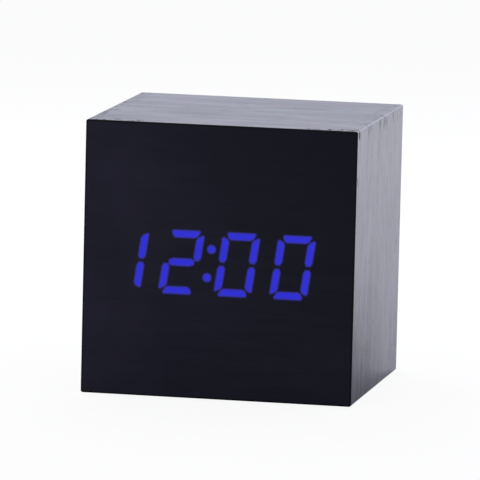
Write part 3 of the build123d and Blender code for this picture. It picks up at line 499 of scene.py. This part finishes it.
def painted_face_light_and_shade(tree, where, colour):
    """The face's colour, with painted light to the left and painted shade at the upper right and rim."""
    axes = split_axes(tree, where)
    # Painted light towards the left, in patches, and painted shade towards the upper right
    patches = streaks(tree, where, painted_light_patches, 3)
    patchy = stretch_range(tree, patches, *painted_light_patch_range, least_painted_light_share, 1)
    leftness = stretch_range(tree, axes["X"], case_low[0], half_width / 2, painted_light_share, 0)
    colour = blend_colours(tree, work_out(tree, "MULTIPLY", leftness, patchy), colour, face_painted_light)
    up_right = work_out(tree, "ADD", work_out(tree, "SUBTRACT", axes["Z"], middle_height), axes["X"])
    upper_right_shade = stretch_range(tree, up_right, 0, case_high[2], 0, painted_shade_share)
    colour = blend_colours(tree, upper_right_shade, colour, face_painted_shade)
    # Painted shade on the eased rim
    across, upright = off_middle(tree, axes)
    near_side = past(tree, across, half_width - face_rim_shade_width, face_rim_shade_width / 2)
    near_level = past(tree, upright, half_height - face_rim_shade_width, face_rim_shade_width / 2)
    on_rim = work_out(tree, "MAXIMUM", near_side, near_level)
    return blend_colours(tree, on_rim, colour, face_rim_shade_colour)


def front_sheet(name, with_painted_light, roughness, grain_height):
    """Very dark stained veneer whose level grain only just shows, and which lets the light through."""
    material, tree, shader, where = start_finish(name)
    tone, pores = grain_on(tree, where, as_laid)
    colour = blend_colours(tree, tone, face_dark, face_pale)
    # Painted light and shade across the face, and painted shade on its rim
    if with_painted_light:
        colour = painted_face_light_and_shade(tree, where, colour)
    shader.inputs["Specular IOR Level"].default_value = face_specular
    let_light_through(tree, shader, where, tone)
    finish_surface(tree, shader, colour, roughness, work_out(tree, "SUBTRACT", tone, pores), grain_height)
    return material


dress(["front_veneer"], front_sheet("face_veneer", True, face_roughness, face_grain_height))

# The time shown
# Blue light from the display comes through the thinned veneer as seven-segment strokes. They are
# stretches of the same sheet, set apart here because they are what shows the time.
stroke_roughness = 0.6
stroke_grain_height = 0.00002
dress(lit_strokes, front_sheet("lit_veneer", False, stroke_roughness, stroke_grain_height))

# Display module
# A black moulded reflector with a well for every stroke, filled with milky resin that spreads the
# light. It is a bought part: one module for all four digits, glued to its own thin board.
housing_black = (0.016, 0.016, 0.017, 1)
housing_grey = (0.030, 0.030, 0.032, 1)
housing_roughness = (0.5, 0.62)
resin_clear = (0.70, 0.73, 0.78, 1)
resin_cloudy = (0.86, 0.87, 0.88, 1)
resin_roughness = (0.18, 0.3)
resin_stipples = 900
usual_stipples = 3000
usual_stipple_depth = 0.00003
fine_stipple_depth = 0.00001
mould_patch_scale = 120


def moulded_group():
    """The skin of moulded plastic: a fine even stipple and wide faint patches."""
    group, given = start_group("moulded_skin", {"Stipples per metre": usual_stipples})
    stipple = noise(group, given["Place"], given["Stipples per metre"], detail=3)
    patches = noise(group, given["Place"], mould_patch_scale, detail=3)
    return finish_group(group, {
        "Stipple": stretch_range(group, stipple, *usual_noise, 0, 1),
        "Patches": stretch_range(group, patches, *usual_noise, 0, 1),
    })


moulded_skin = moulded_group()


def moulded(name, dark, pale, roughness, stipples=usual_stipples, depth=usual_stipple_depth):
    """Moulded plastic between two near shades, with its stipple raised and its gloss a little uneven."""
    material, tree, shader, where = start_finish(name)
    skin = use_group(tree, moulded_skin, {"Place": where, "Stipples per metre": stipples})
    colour = blend_colours(tree, skin["Patches"], dark, pale)
    gloss = stretch_range(tree, skin["Patches"], 0, 1, *roughness)
    finish_surface(tree, shader, colour, gloss, skin["Stipple"], depth)
    return material


dress(["display_housing"], moulded("reflector_plastic", housing_black, housing_grey, housing_roughness))
resin_look = (resin_clear, resin_cloudy, resin_roughness, resin_stipples, fine_stipple_depth)
dress(["segment_light_pipes"], moulded("milky_resin", *resin_look))

# Diodes
# A small cast diode sits behind the middle of every stroke and dot, on the module's own board. The
# casting is a pale yellow resin over a bright chip.
phosphor = (0.80, 0.72, 0.34, 1)
diode_resin = (0.86, 0.84, 0.66, 1)
diode_roughness = (0.2, 0.35)
diode_stipples = 5000
diode_look = (phosphor, diode_resin, diode_roughness, diode_stipples, fine_stipple_depth)
dress(["segment_diodes"], moulded("diode_casting", *diode_look))

# Printed boards
# Glass cloth in resin with copper tracks under a green mask: the module's board, the main board and
# the key board. The weave of the cloth shows faintly in the gloss.
mask_green = (0.010, 0.085, 0.030, 1)
track_green = (0.030, 0.190, 0.070, 1)
track_scale = 420
track_unevenness = 0.85
track_edge = (0.05, 0.08)
cloth_weave = (2600, 0, 2600)
mask_roughness = (0.30, 0.38)
track_height = 0.00003


def printed_board():
    """Green mask, paler and raised where copper runs under it, over a fine woven cloth."""
    material, tree, shader, where = start_finish("green_mask")
    cell_inputs = {
        "Vector": work_out_vector(tree, "MULTIPLY", where, (1, 0, 1)),
        "Scale": track_scale,
        "Randomness": track_unevenness,
    }
    nearest, second = (
        place(tree, "ShaderNodeTexVoronoi", cell_inputs, distance="CHEBYCHEV", feature=feature)
        for feature in ("F1", "F2")
    )
    apart = work_out(tree, "SUBTRACT", second.outputs["Distance"], nearest.outputs["Distance"])
    copper = stretch_range(tree, apart, *track_edge, 0, 1)
    weave = work_out_vector(tree, "MULTIPLY", where, cloth_weave)
    cloth = place(tree, "ShaderNodeTexChecker", {"Vector": weave, "Scale": 1}).outputs["Fac"]
    roughness = stretch_range(tree, cloth, 0, 1, *mask_roughness)
    colour = blend_colours(tree, copper, mask_green, track_green)
    finish_surface(tree, shader, colour, roughness, copper, track_height)
    return material


dress(["display_base", "main_board", "key_board"], printed_board())

# Pins and legs
# The module's twelve pins and the legs of the clock chip are stamped copper alloy dipped in tin,
# soldered into the main board. The crystal's can is drawn from the same bright sheet.
tin_bright = (0.78, 0.78, 0.77, 1)
tin_dull = (0.52, 0.52, 0.53, 1)
tin_roughness = (0.22, 0.4)
cloud_scale = 500
cloud_range = (0.35, 0.65)
scuff_ways = ((400, 9000, 900), (900, 400, 9000))
scuff_range = (0.58, 0.72)
scuff_height = 0.000004


def scuffs(tree, where, way):
    """Fine scuffs that run one way."""
    lines = noise(tree, work_out_vector(tree, "MULTIPLY", where, way), 1, detail=2)
    return stretch_range(tree, lines, *scuff_range, 0, 1)


def metal_group():
    """Handled metal: cloudy patches where it has dulled, and fine scuffs that cross each other."""
    group, given = start_group("handled_metal")
    clouds = noise(group, given["Place"], cloud_scale, detail=4)
    one_way, other_way = (scuffs(group, given["Place"], way) for way in scuff_ways)
    return finish_group(group, {
        "Clouds": stretch_range(group, clouds, *cloud_range, 0, 1),
        "Scuffs": work_out(group, "MAXIMUM", one_way, other_way),
    })


handled_metal = metal_group()


def metal(name, bright, dull, roughness):
    """Metal between a bright and a dull shade, with fine scuffs in its gloss."""
    material, tree, shader, where = start_finish(name)
    wear = use_group(tree, handled_metal, {"Place": where})
    colour = blend_colours(tree, wear["Clouds"], bright, dull)
    gloss = stretch_range(tree, wear["Scuffs"], 0, 1, *roughness)
    shader.inputs["Metallic"].default_value = 1
    finish_surface(tree, shader, colour, gloss, wear["Scuffs"], scuff_height)
    return material


tin_plate = metal("tin_plate", tin_bright, tin_dull, tin_roughness)
dress(["display_pins", "clock_chip_legs", "crystal"], tin_plate)

# Board fixings
# Two nylon spacers hold the main board off the front board, and zinc-plated steel screws go through
# them. Like screws hold the key board, and the two plug headers are moulded from the same nylon.
nylon_pale = (0.74, 0.72, 0.65, 1)
nylon_shade = (0.64, 0.62, 0.54, 1)
nylon_roughness = (0.38, 0.5)
nylon_stipples = 1500
zinc_bright = (0.50, 0.50, 0.51, 1)
zinc_dark = (0.30, 0.30, 0.32, 1)
zinc_roughness = (0.28, 0.46)
nylon = moulded("nylon", nylon_pale, nylon_shade, nylon_roughness, nylon_stipples)
dress(["board_spacers", "board_headers"], nylon)
zinc = metal("dark_zinc", zinc_bright, zinc_dark, zinc_roughness)
dress(["board_screws", "key_board_screws"], zinc)

# Chips
# The clock chip, the four digit drivers and the stroke resistors are moulded in black epoxy, whose
# face the mould leaves very finely matt.
epoxy_black = (0.014, 0.014, 0.015, 1)
epoxy_grey = (0.034, 0.034, 0.036, 1)
epoxy_roughness = (0.42, 0.55)
epoxy_stipples = 6000
epoxy_look = (epoxy_black, epoxy_grey, epoxy_roughness, epoxy_stipples, fine_stipple_depth)
dress(["clock_chip", "digit_drivers", "segment_resistors"], moulded("black_epoxy", *epoxy_look))

# Capacitor
# An aluminium can in a shrunk dark blue sleeve, with a pale stripe along one side. The sleeve is
# otherwise plain.
sleeve_blue = (0.020, 0.024, 0.075, 1)
sleeve_stripe = (0.52, 0.54, 0.60, 1)
stripe_half_width = 0.0007
stripe_edge_share = 1.1
sleeve_wave_scale = 700
sleeve_roughness = (0.2, 0.32)
sleeve_wave_height = 0.00004


def capacitor_sleeve():
    """Shrunk film, glossy and a little wavy, with one pale stripe."""
    material, tree, shader, where = start_finish("capacitor_sleeve")
    low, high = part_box("capacitor")
    from_middle = work_out(tree, "SUBTRACT", split_axes(tree, where)["X"], (low[0] + high[0]) / 2)
    off_stripe = work_out(tree, "ABSOLUTE", from_middle)
    stripe_end = stripe_edge_share * stripe_half_width
    stripe = stretch_range(tree, off_stripe, stripe_half_width, stripe_end, 1, 0)
    colour = blend_colours(tree, stripe, sleeve_blue, sleeve_stripe)
    waves = noise(tree, where, sleeve_wave_scale, detail=1)
    roughness = stretch_range(tree, waves, *usual_noise, *sleeve_roughness)
    finish_surface(tree, shader, colour, roughness, waves, sleeve_wave_height)
    return material


dress(["capacitor"], capacitor_sleeve())

# Buzzer
# A round black shell with a hole in its middle, which sounds the alarm through the slots in the
# cover behind it.
buzzer_black = (0.018, 0.018, 0.019, 1)
buzzer_grey = (0.040, 0.040, 0.042, 1)
buzzer_roughness = (0.35, 0.48)
buzzer_stipples = 2500
dress(["buzzer"], moulded("buzzer_shell", buzzer_black, buzzer_grey, buzzer_roughness, buzzer_stipples))

# Rear cover
# Moulded in one piece with the battery bay in black plastic, it closes the tube from behind. Its edges
# are eased by the mould and its skin is finely textured.
cover_black = (0.020, 0.020, 0.021, 1)
cover_grey = (0.036, 0.036, 0.038, 1)
cover_roughness = (0.46, 0.58)
cover_stipples = 4200
cover_easing = 0.00018
easing_steps = 3
kept_edge_angle = radians(40)
flat_face_angle = radians(1)


def add_object(name, data):
    """Put a new object in the scene."""
    made = bpy.data.objects.new(name, data)
    bpy.context.scene.collection.objects.link(made)
    return made


def add_piece(name, shape, materials, body, stands_for):
    """Make a finished shape a piece that stands for CAD nodes and moves with a body."""
    mesh = bpy.data.meshes.new(name)
    shape.to_mesh(mesh)
    shape.free()
    for material in materials:
        mesh.materials.append(material)
    mesh.shade_smooth()
    mesh.set_sharp_from_angle(angle=kept_edge_angle)
    piece = add_object(name, mesh)
    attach(piece, body)
    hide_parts(*stands_for)
    return piece


def ease_edges(piece, easing):
    """Round every clear edge of a piece, and keep its broad faces flat to the light."""
    eased = piece.modifiers.new("eased_edges", "BEVEL")
    eased.width = easing
    eased.segments = easing_steps
    eased.limit_method = "ANGLE"
    eased.angle_limit = kept_edge_angle
    flat = piece.modifiers.new("flat_faces", "WEIGHTED_NORMAL")
    flat.keep_sharp = True


def eased_copy(name, node_name, easing, material, body):
    """The CAD piece again, with its edges eased as a mould leaves them."""
    shape = bmesh.new()
    shape.from_mesh(nodes[node_name].data)
    bmesh.ops.remove_doubles(shape, verts=shape.verts, dist=same_place)
    bmesh.ops.dissolve_limit(shape, angle_limit=flat_face_angle, verts=shape.verts, edges=shape.edges)
    ease_edges(add_piece(name, shape, [material], body, [node_name]), easing)


cover_skin = moulded("cover_plastic", cover_black, cover_grey, cover_roughness, cover_stipples)
eased_copy("moulded_rear_cover", "rear_cover", cover_easing, cover_skin, "root")

# Cover screws
# Four pan head self-tapping screws of zinc-plated steel, sunk in the cover's corners. Each head has a
# rounded rim and a cross recess.
head_sides = 40
# Shares of the screw's length, of the head's radius, and for the tip of the shank's radius
head_height_share = 1.2 / 11.75
shank_share = 0.5
tip_share = 0.4
tip_taper_share = 1.5
# Shares of the head's height and of its radius, from below its rim to its crown
pan_profile = ((0.35, 1), (0.7, 0.93), (0.92, 0.8), (1, 0.64))
recess_depth = 0.00075
# Shares of the head's radius
recess_half_share = 0.17
recess_reach_share = 0.56
recess_floor_share = 0.45


def turn_ring(shape, centre, radius, height, sides):
    """A ring of points round a line along Y through a centre, at a height along it."""
    angles = [2 * pi * step / sides for step in range(sides)]
    return [
        shape.verts.new((centre[0] + radius * cos(angle), height, centre[1] + radius * sin(angle)))
        for angle in angles
    ]


def join_rings(shape, first, second, material_index=0):
    """Faces between two rings of as many points."""
    for step in range(len(first)):
        after = (step + 1) % len(first)
        face = shape.faces.new((first[step], first[after], second[after], second[step]))
        face.material_index = material_index


def cross_outline(shape, centre, radius, height):
    """The twelve corners of a cross recess."""
    half, reach = recess_half_share * radius, recess_reach_share * radius
    arm = ((reach, -half), (reach, half), (half, half))
    outline = []
    for along, aside in ((1, 0), (0, 1), (-1, 0), (0, -1)):
        for x, z in arm:
            spot = (centre[0] + x * along - z * aside, height, centre[1] + x * aside + z * along)
            outline.append(shape.verts.new(spot))
    return outline


def close_loop(shape, ring):
    """The edges round a ring."""
    pairs = zip(ring, ring[1:] + ring[:1])
    return [shape.edges.get(pair) or shape.edges.new(pair) for pair in pairs]


def pan_head_screw(shape, corners):
    """One screw along Y, from its blunt tip to its rounded head, in the place of the CAD screw."""
    low, high = ([pick(values) for values in zip(*corners)] for pick in (min, max))
    centre = ((low[0] + high[0]) / 2, (low[2] + high[2]) / 2)
    tip, top = low[1], high[1]
    seat = top - head_height_share * (top - tip)
    head_radius = (high[0] - low[0]) / 2
    shank_radius = shank_share * head_radius
    profile = [
        (tip, tip_share * shank_radius),
        (tip + tip_taper_share * shank_radius, shank_radius),
        (seat, shank_radius),
        (seat, head_radius),
    ]
    profile += [(seat + rise * (top - seat), share * head_radius) for rise, share in pan_profile]
    rings = [turn_ring(shape, centre, radius, height, head_sides) for height, radius in profile]
    shape.faces.new(rings[0])
    for first, second in zip(rings, rings[1:]):
        join_rings(shape, first, second)
    mouth = cross_outline(shape, centre, head_radius, top)
    crown_edges = close_loop(shape, rings[-1]) + close_loop(shape, mouth)
    bmesh.ops.triangle_fill(shape, edges=crown_edges, use_beauty=True)
    recess_floor = cross_outline(shape, centre, recess_floor_share * head_radius, top - recess_depth)
    join_rings(shape, mouth, recess_floor)
    shape.faces.new(recess_floor)


screws = bmesh.new()
for corners in separate_solids("rear_cover_screws"):
    pan_head_screw(screws, corners)
bmesh.ops.recalc_face_normals(screws, faces=screws.faces)
add_piece("cross_head_cover_screws", screws, [zinc], "root", ["rear_cover_screws"])

# Battery door
# A flat moulding that turns on two pins at its foot and holds by a springy tongue at its head, in the
# same plastic and texture as the cover.
door_easing = 0.00014
eased_copy("moulded_battery_door", "battery_door", door_easing, cover_skin, "battery_door")

# Cells
# Three AAA cells. Each is a steel can in a shrunk film that wraps a little over both ends, with a
# pressed cap and nub at the plus end. The film is plain: slate, with a pale ring by the plus end.
film_slate = (0.060, 0.075, 0.105, 1)
film_slate_pale = (0.085, 0.105, 0.140, 1)
film_ring = (0.48, 0.49, 0.50, 1)
film_metallic = 0.35
film_roughness = (0.24, 0.34)
film_patch_height = 0.00002
can_bright = (0.74, 0.73, 0.70, 1)
can_dull = (0.55, 0.54, 0.52, 1)
can_roughness = (0.2, 0.36)
can_length = 0.0435
nub_length = 0.001
widest_nub_share = 0.7
ring_start = 0.036
ring_end = 0.040
ring_edge_width = 0.0001
cell_sides = 56
# Depths in from an end, and shares of the cell's radius: the plate of the minus end, the film's fold
# over each end, and the cap with its nub
plate_profile = ((0.0003, 0.2), (0.0003, 0.76))
film_profile = ((0.0001, 0.80), (0, 0.86), (0.0002, 0.94), (0.0007, 0.99), (0.0014, 1))
nub_profile = (
    (0.0003, 0.74), (0.0003, 0.46), (0.0001, 0.40), (-0.0006, 0.37), (-0.0009, 0.34), (-0.001, 0.28),
)
in_film, in_steel = 0, 1


def cell_film(name, shoulder, towards_minus):
    """Printed film: metallic, slightly mottled, with one pale ring near the plus end."""
    material, tree, shader, where = start_finish(name)
    from_shoulder = work_out(tree, "SUBTRACT", split_axes(tree, where)["X"], shoulder)
    along = work_out(tree, "MULTIPLY", from_shoulder, towards_minus)
    from_minus = work_out(tree, "SUBTRACT", can_length, along)
    began, over = (past(tree, from_minus, edge, ring_edge_width) for edge in (ring_start, ring_end))
    skin = use_group(tree, moulded_skin, {"Place": where})
    slate = blend_colours(tree, skin["Patches"], film_slate, film_slate_pale)
    colour = blend_colours(tree, work_out(tree, "SUBTRACT", began, over), slate, film_ring)
    roughness = stretch_range(tree, skin["Stipple"], 0, 1, *film_roughness)
    shader.inputs["Metallic"].default_value = film_metallic
    finish_surface(tree, shader, colour, roughness, skin["Patches"], film_patch_height)
    return material


def set_along(end, way, radius, profile):
    """Places along X and radii, from depths in from an end and shares of the widest radius."""
    return [(end + way * depth, share * radius) for depth, share in profile]


def turn_along_x(shape, centre_y, centre_z, profile, sides, bands):
    """A body turned about a line along X, closed at both ends, from the material of each band."""
    angles = [2 * pi * step / sides for step in range(sides)]
    rings = []
    for x, radius in profile:
        spots = [(x, centre_y + radius * cos(angle), centre_z + radius * sin(angle)) for angle in angles]
        rings.append([shape.verts.new(spot) for spot in spots])
    for first, second, material_index in zip(rings, rings[1:], bands):
        join_rings(shape, first, second, material_index)
    for end in (0, -1):
        shape.faces.new(rings[end]).material_index = bands[end]


def cell(number):
    """One cell, its nub to the side where the CAD cell has it."""
    node_name = f"battery_{number}"
    low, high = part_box(node_name)
    middle_y, middle_z = (low[1] + high[1]) / 2, (low[2] + high[2]) / 2
    radius = (high[2] - low[2]) / 2
    low_end = [vert.co for vert in nodes[node_name].data.vertices if vert.co.x < low[0] + same_place]
    nub_is_low = max(abs(spot.y - middle_y) for spot in low_end) < widest_nub_share * radius
    plus_end, minus_end, inward = (low[0], high[0], 1) if nub_is_low else (high[0], low[0], -1)
    shoulder = plus_end + inward * nub_length
    profile = set_along(minus_end, -inward, radius, plate_profile + film_profile)
    profile += set_along(shoulder, inward, radius, film_profile[::-1] + nub_profile)
    # The disc at the nub's tip isn't joined to the ring before it: a gap 0.3 mm wide stays open there
    bands = [in_steel] * len(plate_profile)
    bands += [in_film] * (2 * len(film_profile) - 1)
    bands += [in_steel] * (len(nub_profile) - 1)
    shape = bmesh.new()
    turn_along_x(shape, middle_y, middle_z, profile, cell_sides, bands)
    bmesh.ops.recalc_face_normals(shape, faces=shape.faces)
    film = cell_film(f"cell_film_{number}", shoulder, inward)
    add_piece(f"cell_{number}", shape, [film, can_steel], "root", [node_name])


can_steel = metal("nickelled_can", can_bright, can_dull, can_roughness)
for number in (1, 2, 3):
    cell(number)

# Battery contacts
# Strips stamped from spring steel and nickel plated, which stand against both end walls of the bay.
# Two of them link neighbouring cells, and two have tails for the leads.
nickel_bright = (0.76, 0.74, 0.70, 1)
nickel_dull = (0.56, 0.54, 0.50, 1)
nickel_roughness = (0.2, 0.38)
contact_names = ["positive_contact", "lower_link_contact", "upper_link_contact", "negative_contact"]
dress(contact_names, metal("nickel_plate", nickel_bright, nickel_dull, nickel_roughness))

# Switches
# Three small click switches on the key board: black bodies with pale plungers that stand in their
# wells and meet the stems of the keys.
switch_black = (0.020, 0.020, 0.020, 1)
switch_grey = (0.038, 0.038, 0.038, 1)
switch_roughness = (0.36, 0.5)
plunger_tan = (0.56, 0.50, 0.43, 1)
plunger_pale = (0.64, 0.59, 0.52, 1)
plunger_roughness = (0.3, 0.42)
key_names = ("set", "up", "down")
dress(["switch_bodies"], moulded("switch_plastic", switch_black, switch_grey, switch_roughness))
plunger_skin = moulded("plunger_plastic", plunger_tan, plunger_pale, plunger_roughness)
dress([f"{name}_switch_plunger" for name in key_names], plunger_skin)

# Keys
# Each cap is one smooth moulding: a domed round head that stands proud of the cover, a square flange
# behind the cover that keeps it in and stops it turning, and a square stem.
key_black = (0.024, 0.024, 0.026, 1)
key_grey = (0.038, 0.038, 0.040, 1)
key_roughness = (0.3, 0.4)
key_stipples = 2500
key_easing = 0.00012
key_sides = 48
# Shares of the cap's half width, and of its length from the stem's end
head_radius_share = 0.7778
stem_half_share = 0.4444
flange_start_share = 0.3803
flange_end_share = 0.4930
# Shares of the head's height and of its radius, from the foot of the dome to its top
dome_profile = ((0.72, 1), (0.86, 0.985), (0.94, 0.93), (0.975, 0.84), (0.99, 0.7), (0.997, 0.5), (1, 0.28))


def add_block(shape, centre, half, start_y, end_y):
    """A square bar along Y, closed at both ends."""
    corners = ((-half, -half), (half, -half), (half, half), (-half, half))
    start, end = (
        [shape.verts.new((centre[0] + x, y, centre[1] + z)) for x, z in corners]
        for y in (start_y, end_y)
    )
    join_rings(shape, start, end)
    for square in (start, end):
        shape.faces.new(square)


def key_cap(name):
    """One cap, in the place and size of its CAD node."""
    low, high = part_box(f"{name}_button")
    centre = ((low[0] + high[0]) / 2, (low[2] + high[2]) / 2)
    half, length = (high[0] - low[0]) / 2, high[1] - low[1]
    flange_start = low[1] + flange_start_share * length
    flange_end = low[1] + flange_end_share * length
    head_radius = head_radius_share * half
    shape = bmesh.new()
    add_block(shape, centre, stem_half_share * half, low[1], flange_start)
    add_block(shape, centre, half, flange_start, flange_end)
    rings = [
        turn_ring(shape, centre, share * head_radius, flange_end + rise * (high[1] - flange_end), key_sides)
        for rise, share in ((0, 1),) + dome_profile
    ]
    for first, second in zip(rings, rings[1:]):
        join_rings(shape, first, second)
    for end in (0, -1):
        shape.faces.new(rings[end])
    bmesh.ops.recalc_face_normals(shape, faces=shape.faces)
    piece = add_piece(f"{name}_key_cap", shape, [key_skin], f"{name}_key", [f"{name}_button"])
    ease_edges(piece, key_easing)


key_skin = moulded("key_plastic", key_black, key_grey, key_roughness, key_stipples, fine_stipple_depth)
for name in key_names:
    key_cap(name)

# Power socket
# A barrel socket in a square moulded body, its round nose in the cover's hole, with a plated pin in
# the middle of its bore.
socket_black = (0.016, 0.016, 0.016, 1)
socket_grey = (0.030, 0.030, 0.031, 1)
socket_roughness = (0.32, 0.44)
socket_stipples = 2200
socket_easing = 0.00012
pin_roughness = (0.16, 0.3)
socket_skin = moulded("socket_plastic", socket_black, socket_grey, socket_roughness, socket_stipples)
eased_copy("moulded_power_socket", "power_socket", socket_easing, socket_skin, "root")
dress(["power_socket_pin"], metal("socket_pin_plate", nickel_bright, nickel_dull, pin_roughness))

# Leads
# Stranded wire in soft insulation, red and black from the battery contacts, and a flat grey ribbon
# from the key board. They are soldered or plugged at both ends.
red_vinyl = (0.46, 0.012, 0.012, 1)
red_vinyl_pale = (0.56, 0.030, 0.026, 1)
black_vinyl = (0.014, 0.014, 0.015, 1)
black_vinyl_pale = (0.030, 0.030, 0.031, 1)
vinyl_roughness = (0.34, 0.46)
vinyl_stipples = 1800
ribbon_grey = (0.40, 0.40, 0.41, 1)
ribbon_groove = (0.24, 0.24, 0.25, 1)
ribbon_roughness = (0.4, 0.52)
core_spacing = 0.00127
groove_range = (-1, 0.2)
groove_depth = 0.00015
red_insulation = moulded("red_vinyl", red_vinyl, red_vinyl_pale, vinyl_roughness, vinyl_stipples)
dress(["red_battery_lead"], red_insulation)
black_insulation = moulded("black_vinyl", black_vinyl, black_vinyl_pale, vinyl_roughness, vinyl_stipples)
dress(["black_battery_lead"], black_insulation)


def ribbon_vinyl():
    """Flat insulation over side by side wires, with a groove between each two."""
    material, tree, shader, where = start_finish("grey_ribbon")
    turns = work_out(tree, "MULTIPLY", split_axes(tree, where)["X"], 2 * pi / core_spacing)
    core = stretch_range(tree, work_out(tree, "COSINE", turns), *groove_range, 0, 1)
    skin = use_group(tree, moulded_skin, {"Place": where})
    colour = blend_colours(tree, core, ribbon_groove, ribbon_grey)
    roughness = stretch_range(tree, skin["Patches"], 0, 1, *ribbon_roughness)
    finish_surface(tree, shader, colour, roughness, core, groove_depth)
    return material


dress(["key_ribbon"], ribbon_vinyl())

# Camera
# It stands a little to the right of the clock and just above it, far off behind a long lens, and
# leans by a little over one degree, as in the photograph.
camera_azimuth = radians(11.360)
camera_elevation = radians(7.716)
camera_roll = radians(1.374)
camera_place = Vector((0.298143, -1.488345, 0.238175))
lens_mm = 503.818
sensor_mm = 36

towards_camera = Vector((
    sin(camera_azimuth) * cos(camera_elevation),
    -cos(camera_azimuth) * cos(camera_elevation),
    sin(camera_elevation),
))
level_right = (-towards_camera).cross(Vector((0, 0, 1))).normalized()
level_up = level_right.cross(-towards_camera)
rolled_right = cos(camera_roll) * level_right + sin(camera_roll) * level_up
rolled_up = cos(camera_roll) * level_up - sin(camera_roll) * level_right
camera_turn = Matrix((rolled_right, rolled_up, towards_camera)).transposed().to_4x4()
camera_data = bpy.data.cameras.new("camera")
camera_data.lens = lens_mm
camera_data.sensor_width = sensor_mm
camera = add_object("camera", camera_data)
camera.matrix_world = Matrix.Translation(camera_place) @ camera_turn
bpy.context.scene.camera = camera

# Studio
# Pale paper lies flat under the clock, in an even white surround. Glossy faces see it brighten away
# from the clock, as if it swept up far behind. One large soft lamp stands behind the clock's left
# side, so the paper keeps a soft shadow by its right side.
floor_half = 3.0
paper_colour = (0.54, 0.54, 0.55, 1)
paper_in_view = (0.92, 0.92, 0.93, 1)
floor_shadow_share = 0.10
brightening = (0.04, 0.45)
white = (1, 1, 1, 1)
cool_white = (0.885, 0.90, 1, 1)
plain_level = 0.80
lamp_size = 0.35
lamp_energy = 1.45
lamp_place = Vector((-0.08, 0.32, 0.40))
lamp_aim = Vector((0, 0, 0.04))


def seen_by(tree, *kinds):
    """1 for these kinds of ray, and 0 for all others."""
    path = place(tree, "ShaderNodeLightPath").outputs
    seen = 0
    for kind in kinds:
        seen = work_out(tree, "MAXIMUM", seen, path[kind])
    return seen


def pale_paper():
    """Paper that glows almost white to the camera, and to glossy faces only far from the clock."""
    material = bpy.data.materials.new("pale_paper")
    material.use_nodes = True
    tree = material.node_tree
    tree.nodes.remove(tree.nodes["Principled BSDF"])
    in_view = seen_by(tree, "Is Camera Ray")
    paper = blend_colours(tree, in_view, paper_colour, paper_in_view)
    matt = place(tree, "ShaderNodeBsdfDiffuse", {"Color": paper})
    glow_colour = blend_colours(tree, in_view, cool_white, white)
    glow = place(tree, "ShaderNodeEmission", {"Color": glow_colour, "Strength": 1})
    spot = place(tree, "ShaderNodeTexCoord").outputs["Object"]
    far = stretch_range(tree, work_out_vector(tree, "LENGTH", spot), *brightening, 0, 1)
    in_mirror = seen_by(tree, "Is Glossy Ray", "Is Transmission Ray")
    view_share = stretch_range(tree, in_view, 0, 1, 0, 1 - floor_shadow_share)
    glow_share = work_out(tree, "ADD", work_out(tree, "MULTIPLY", in_mirror, far), view_share)
    mix = place(tree, "ShaderNodeMixShader", {0: glow_share, 1: matt.outputs[0], 2: glow.outputs[0]})
    feed(tree, tree.nodes["Material Output"], {"Surface": mix.outputs[0]})
    return material


floor_shape = bmesh.new()
bmesh.ops.create_grid(floor_shape, x_segments=1, y_segments=1, size=floor_half)
floor_mesh = bpy.data.meshes.new("floor")
floor_shape.to_mesh(floor_mesh)
floor_shape.free()
floor_mesh.materials.append(pale_paper())
floor = add_object("floor", floor_mesh)

surround = bpy.data.worlds.new("white_surround")
surround.use_nodes = True
sky_tree = surround.node_tree
sky_seen = seen_by(sky_tree, "Is Camera Ray", "Is Glossy Ray", "Is Transmission Ray")
feed(sky_tree, sky_tree.nodes["Background"], {
    "Color": blend_colours(sky_tree, seen_by(sky_tree, "Is Camera Ray"), cool_white, white),
    "Strength": stretch_range(sky_tree, sky_seen, 0, 1, plain_level, 1),
})
bpy.context.scene.world = surround

lamp_data = bpy.data.lights.new("soft_lamp", "AREA")
lamp_data.shape = "DISK"
lamp_data.size = lamp_size
lamp_data.energy = lamp_energy
lamp_data.color = cool_white[:3]
lamp = add_object("soft_lamp", lamp_data)
lamp.location = lamp_place
lamp.rotation_euler = (lamp_aim - lamp_place).to_track_quat("-Z", "Y").to_euler()

bpy.context.scene.view_settings.view_transform = "Standard"
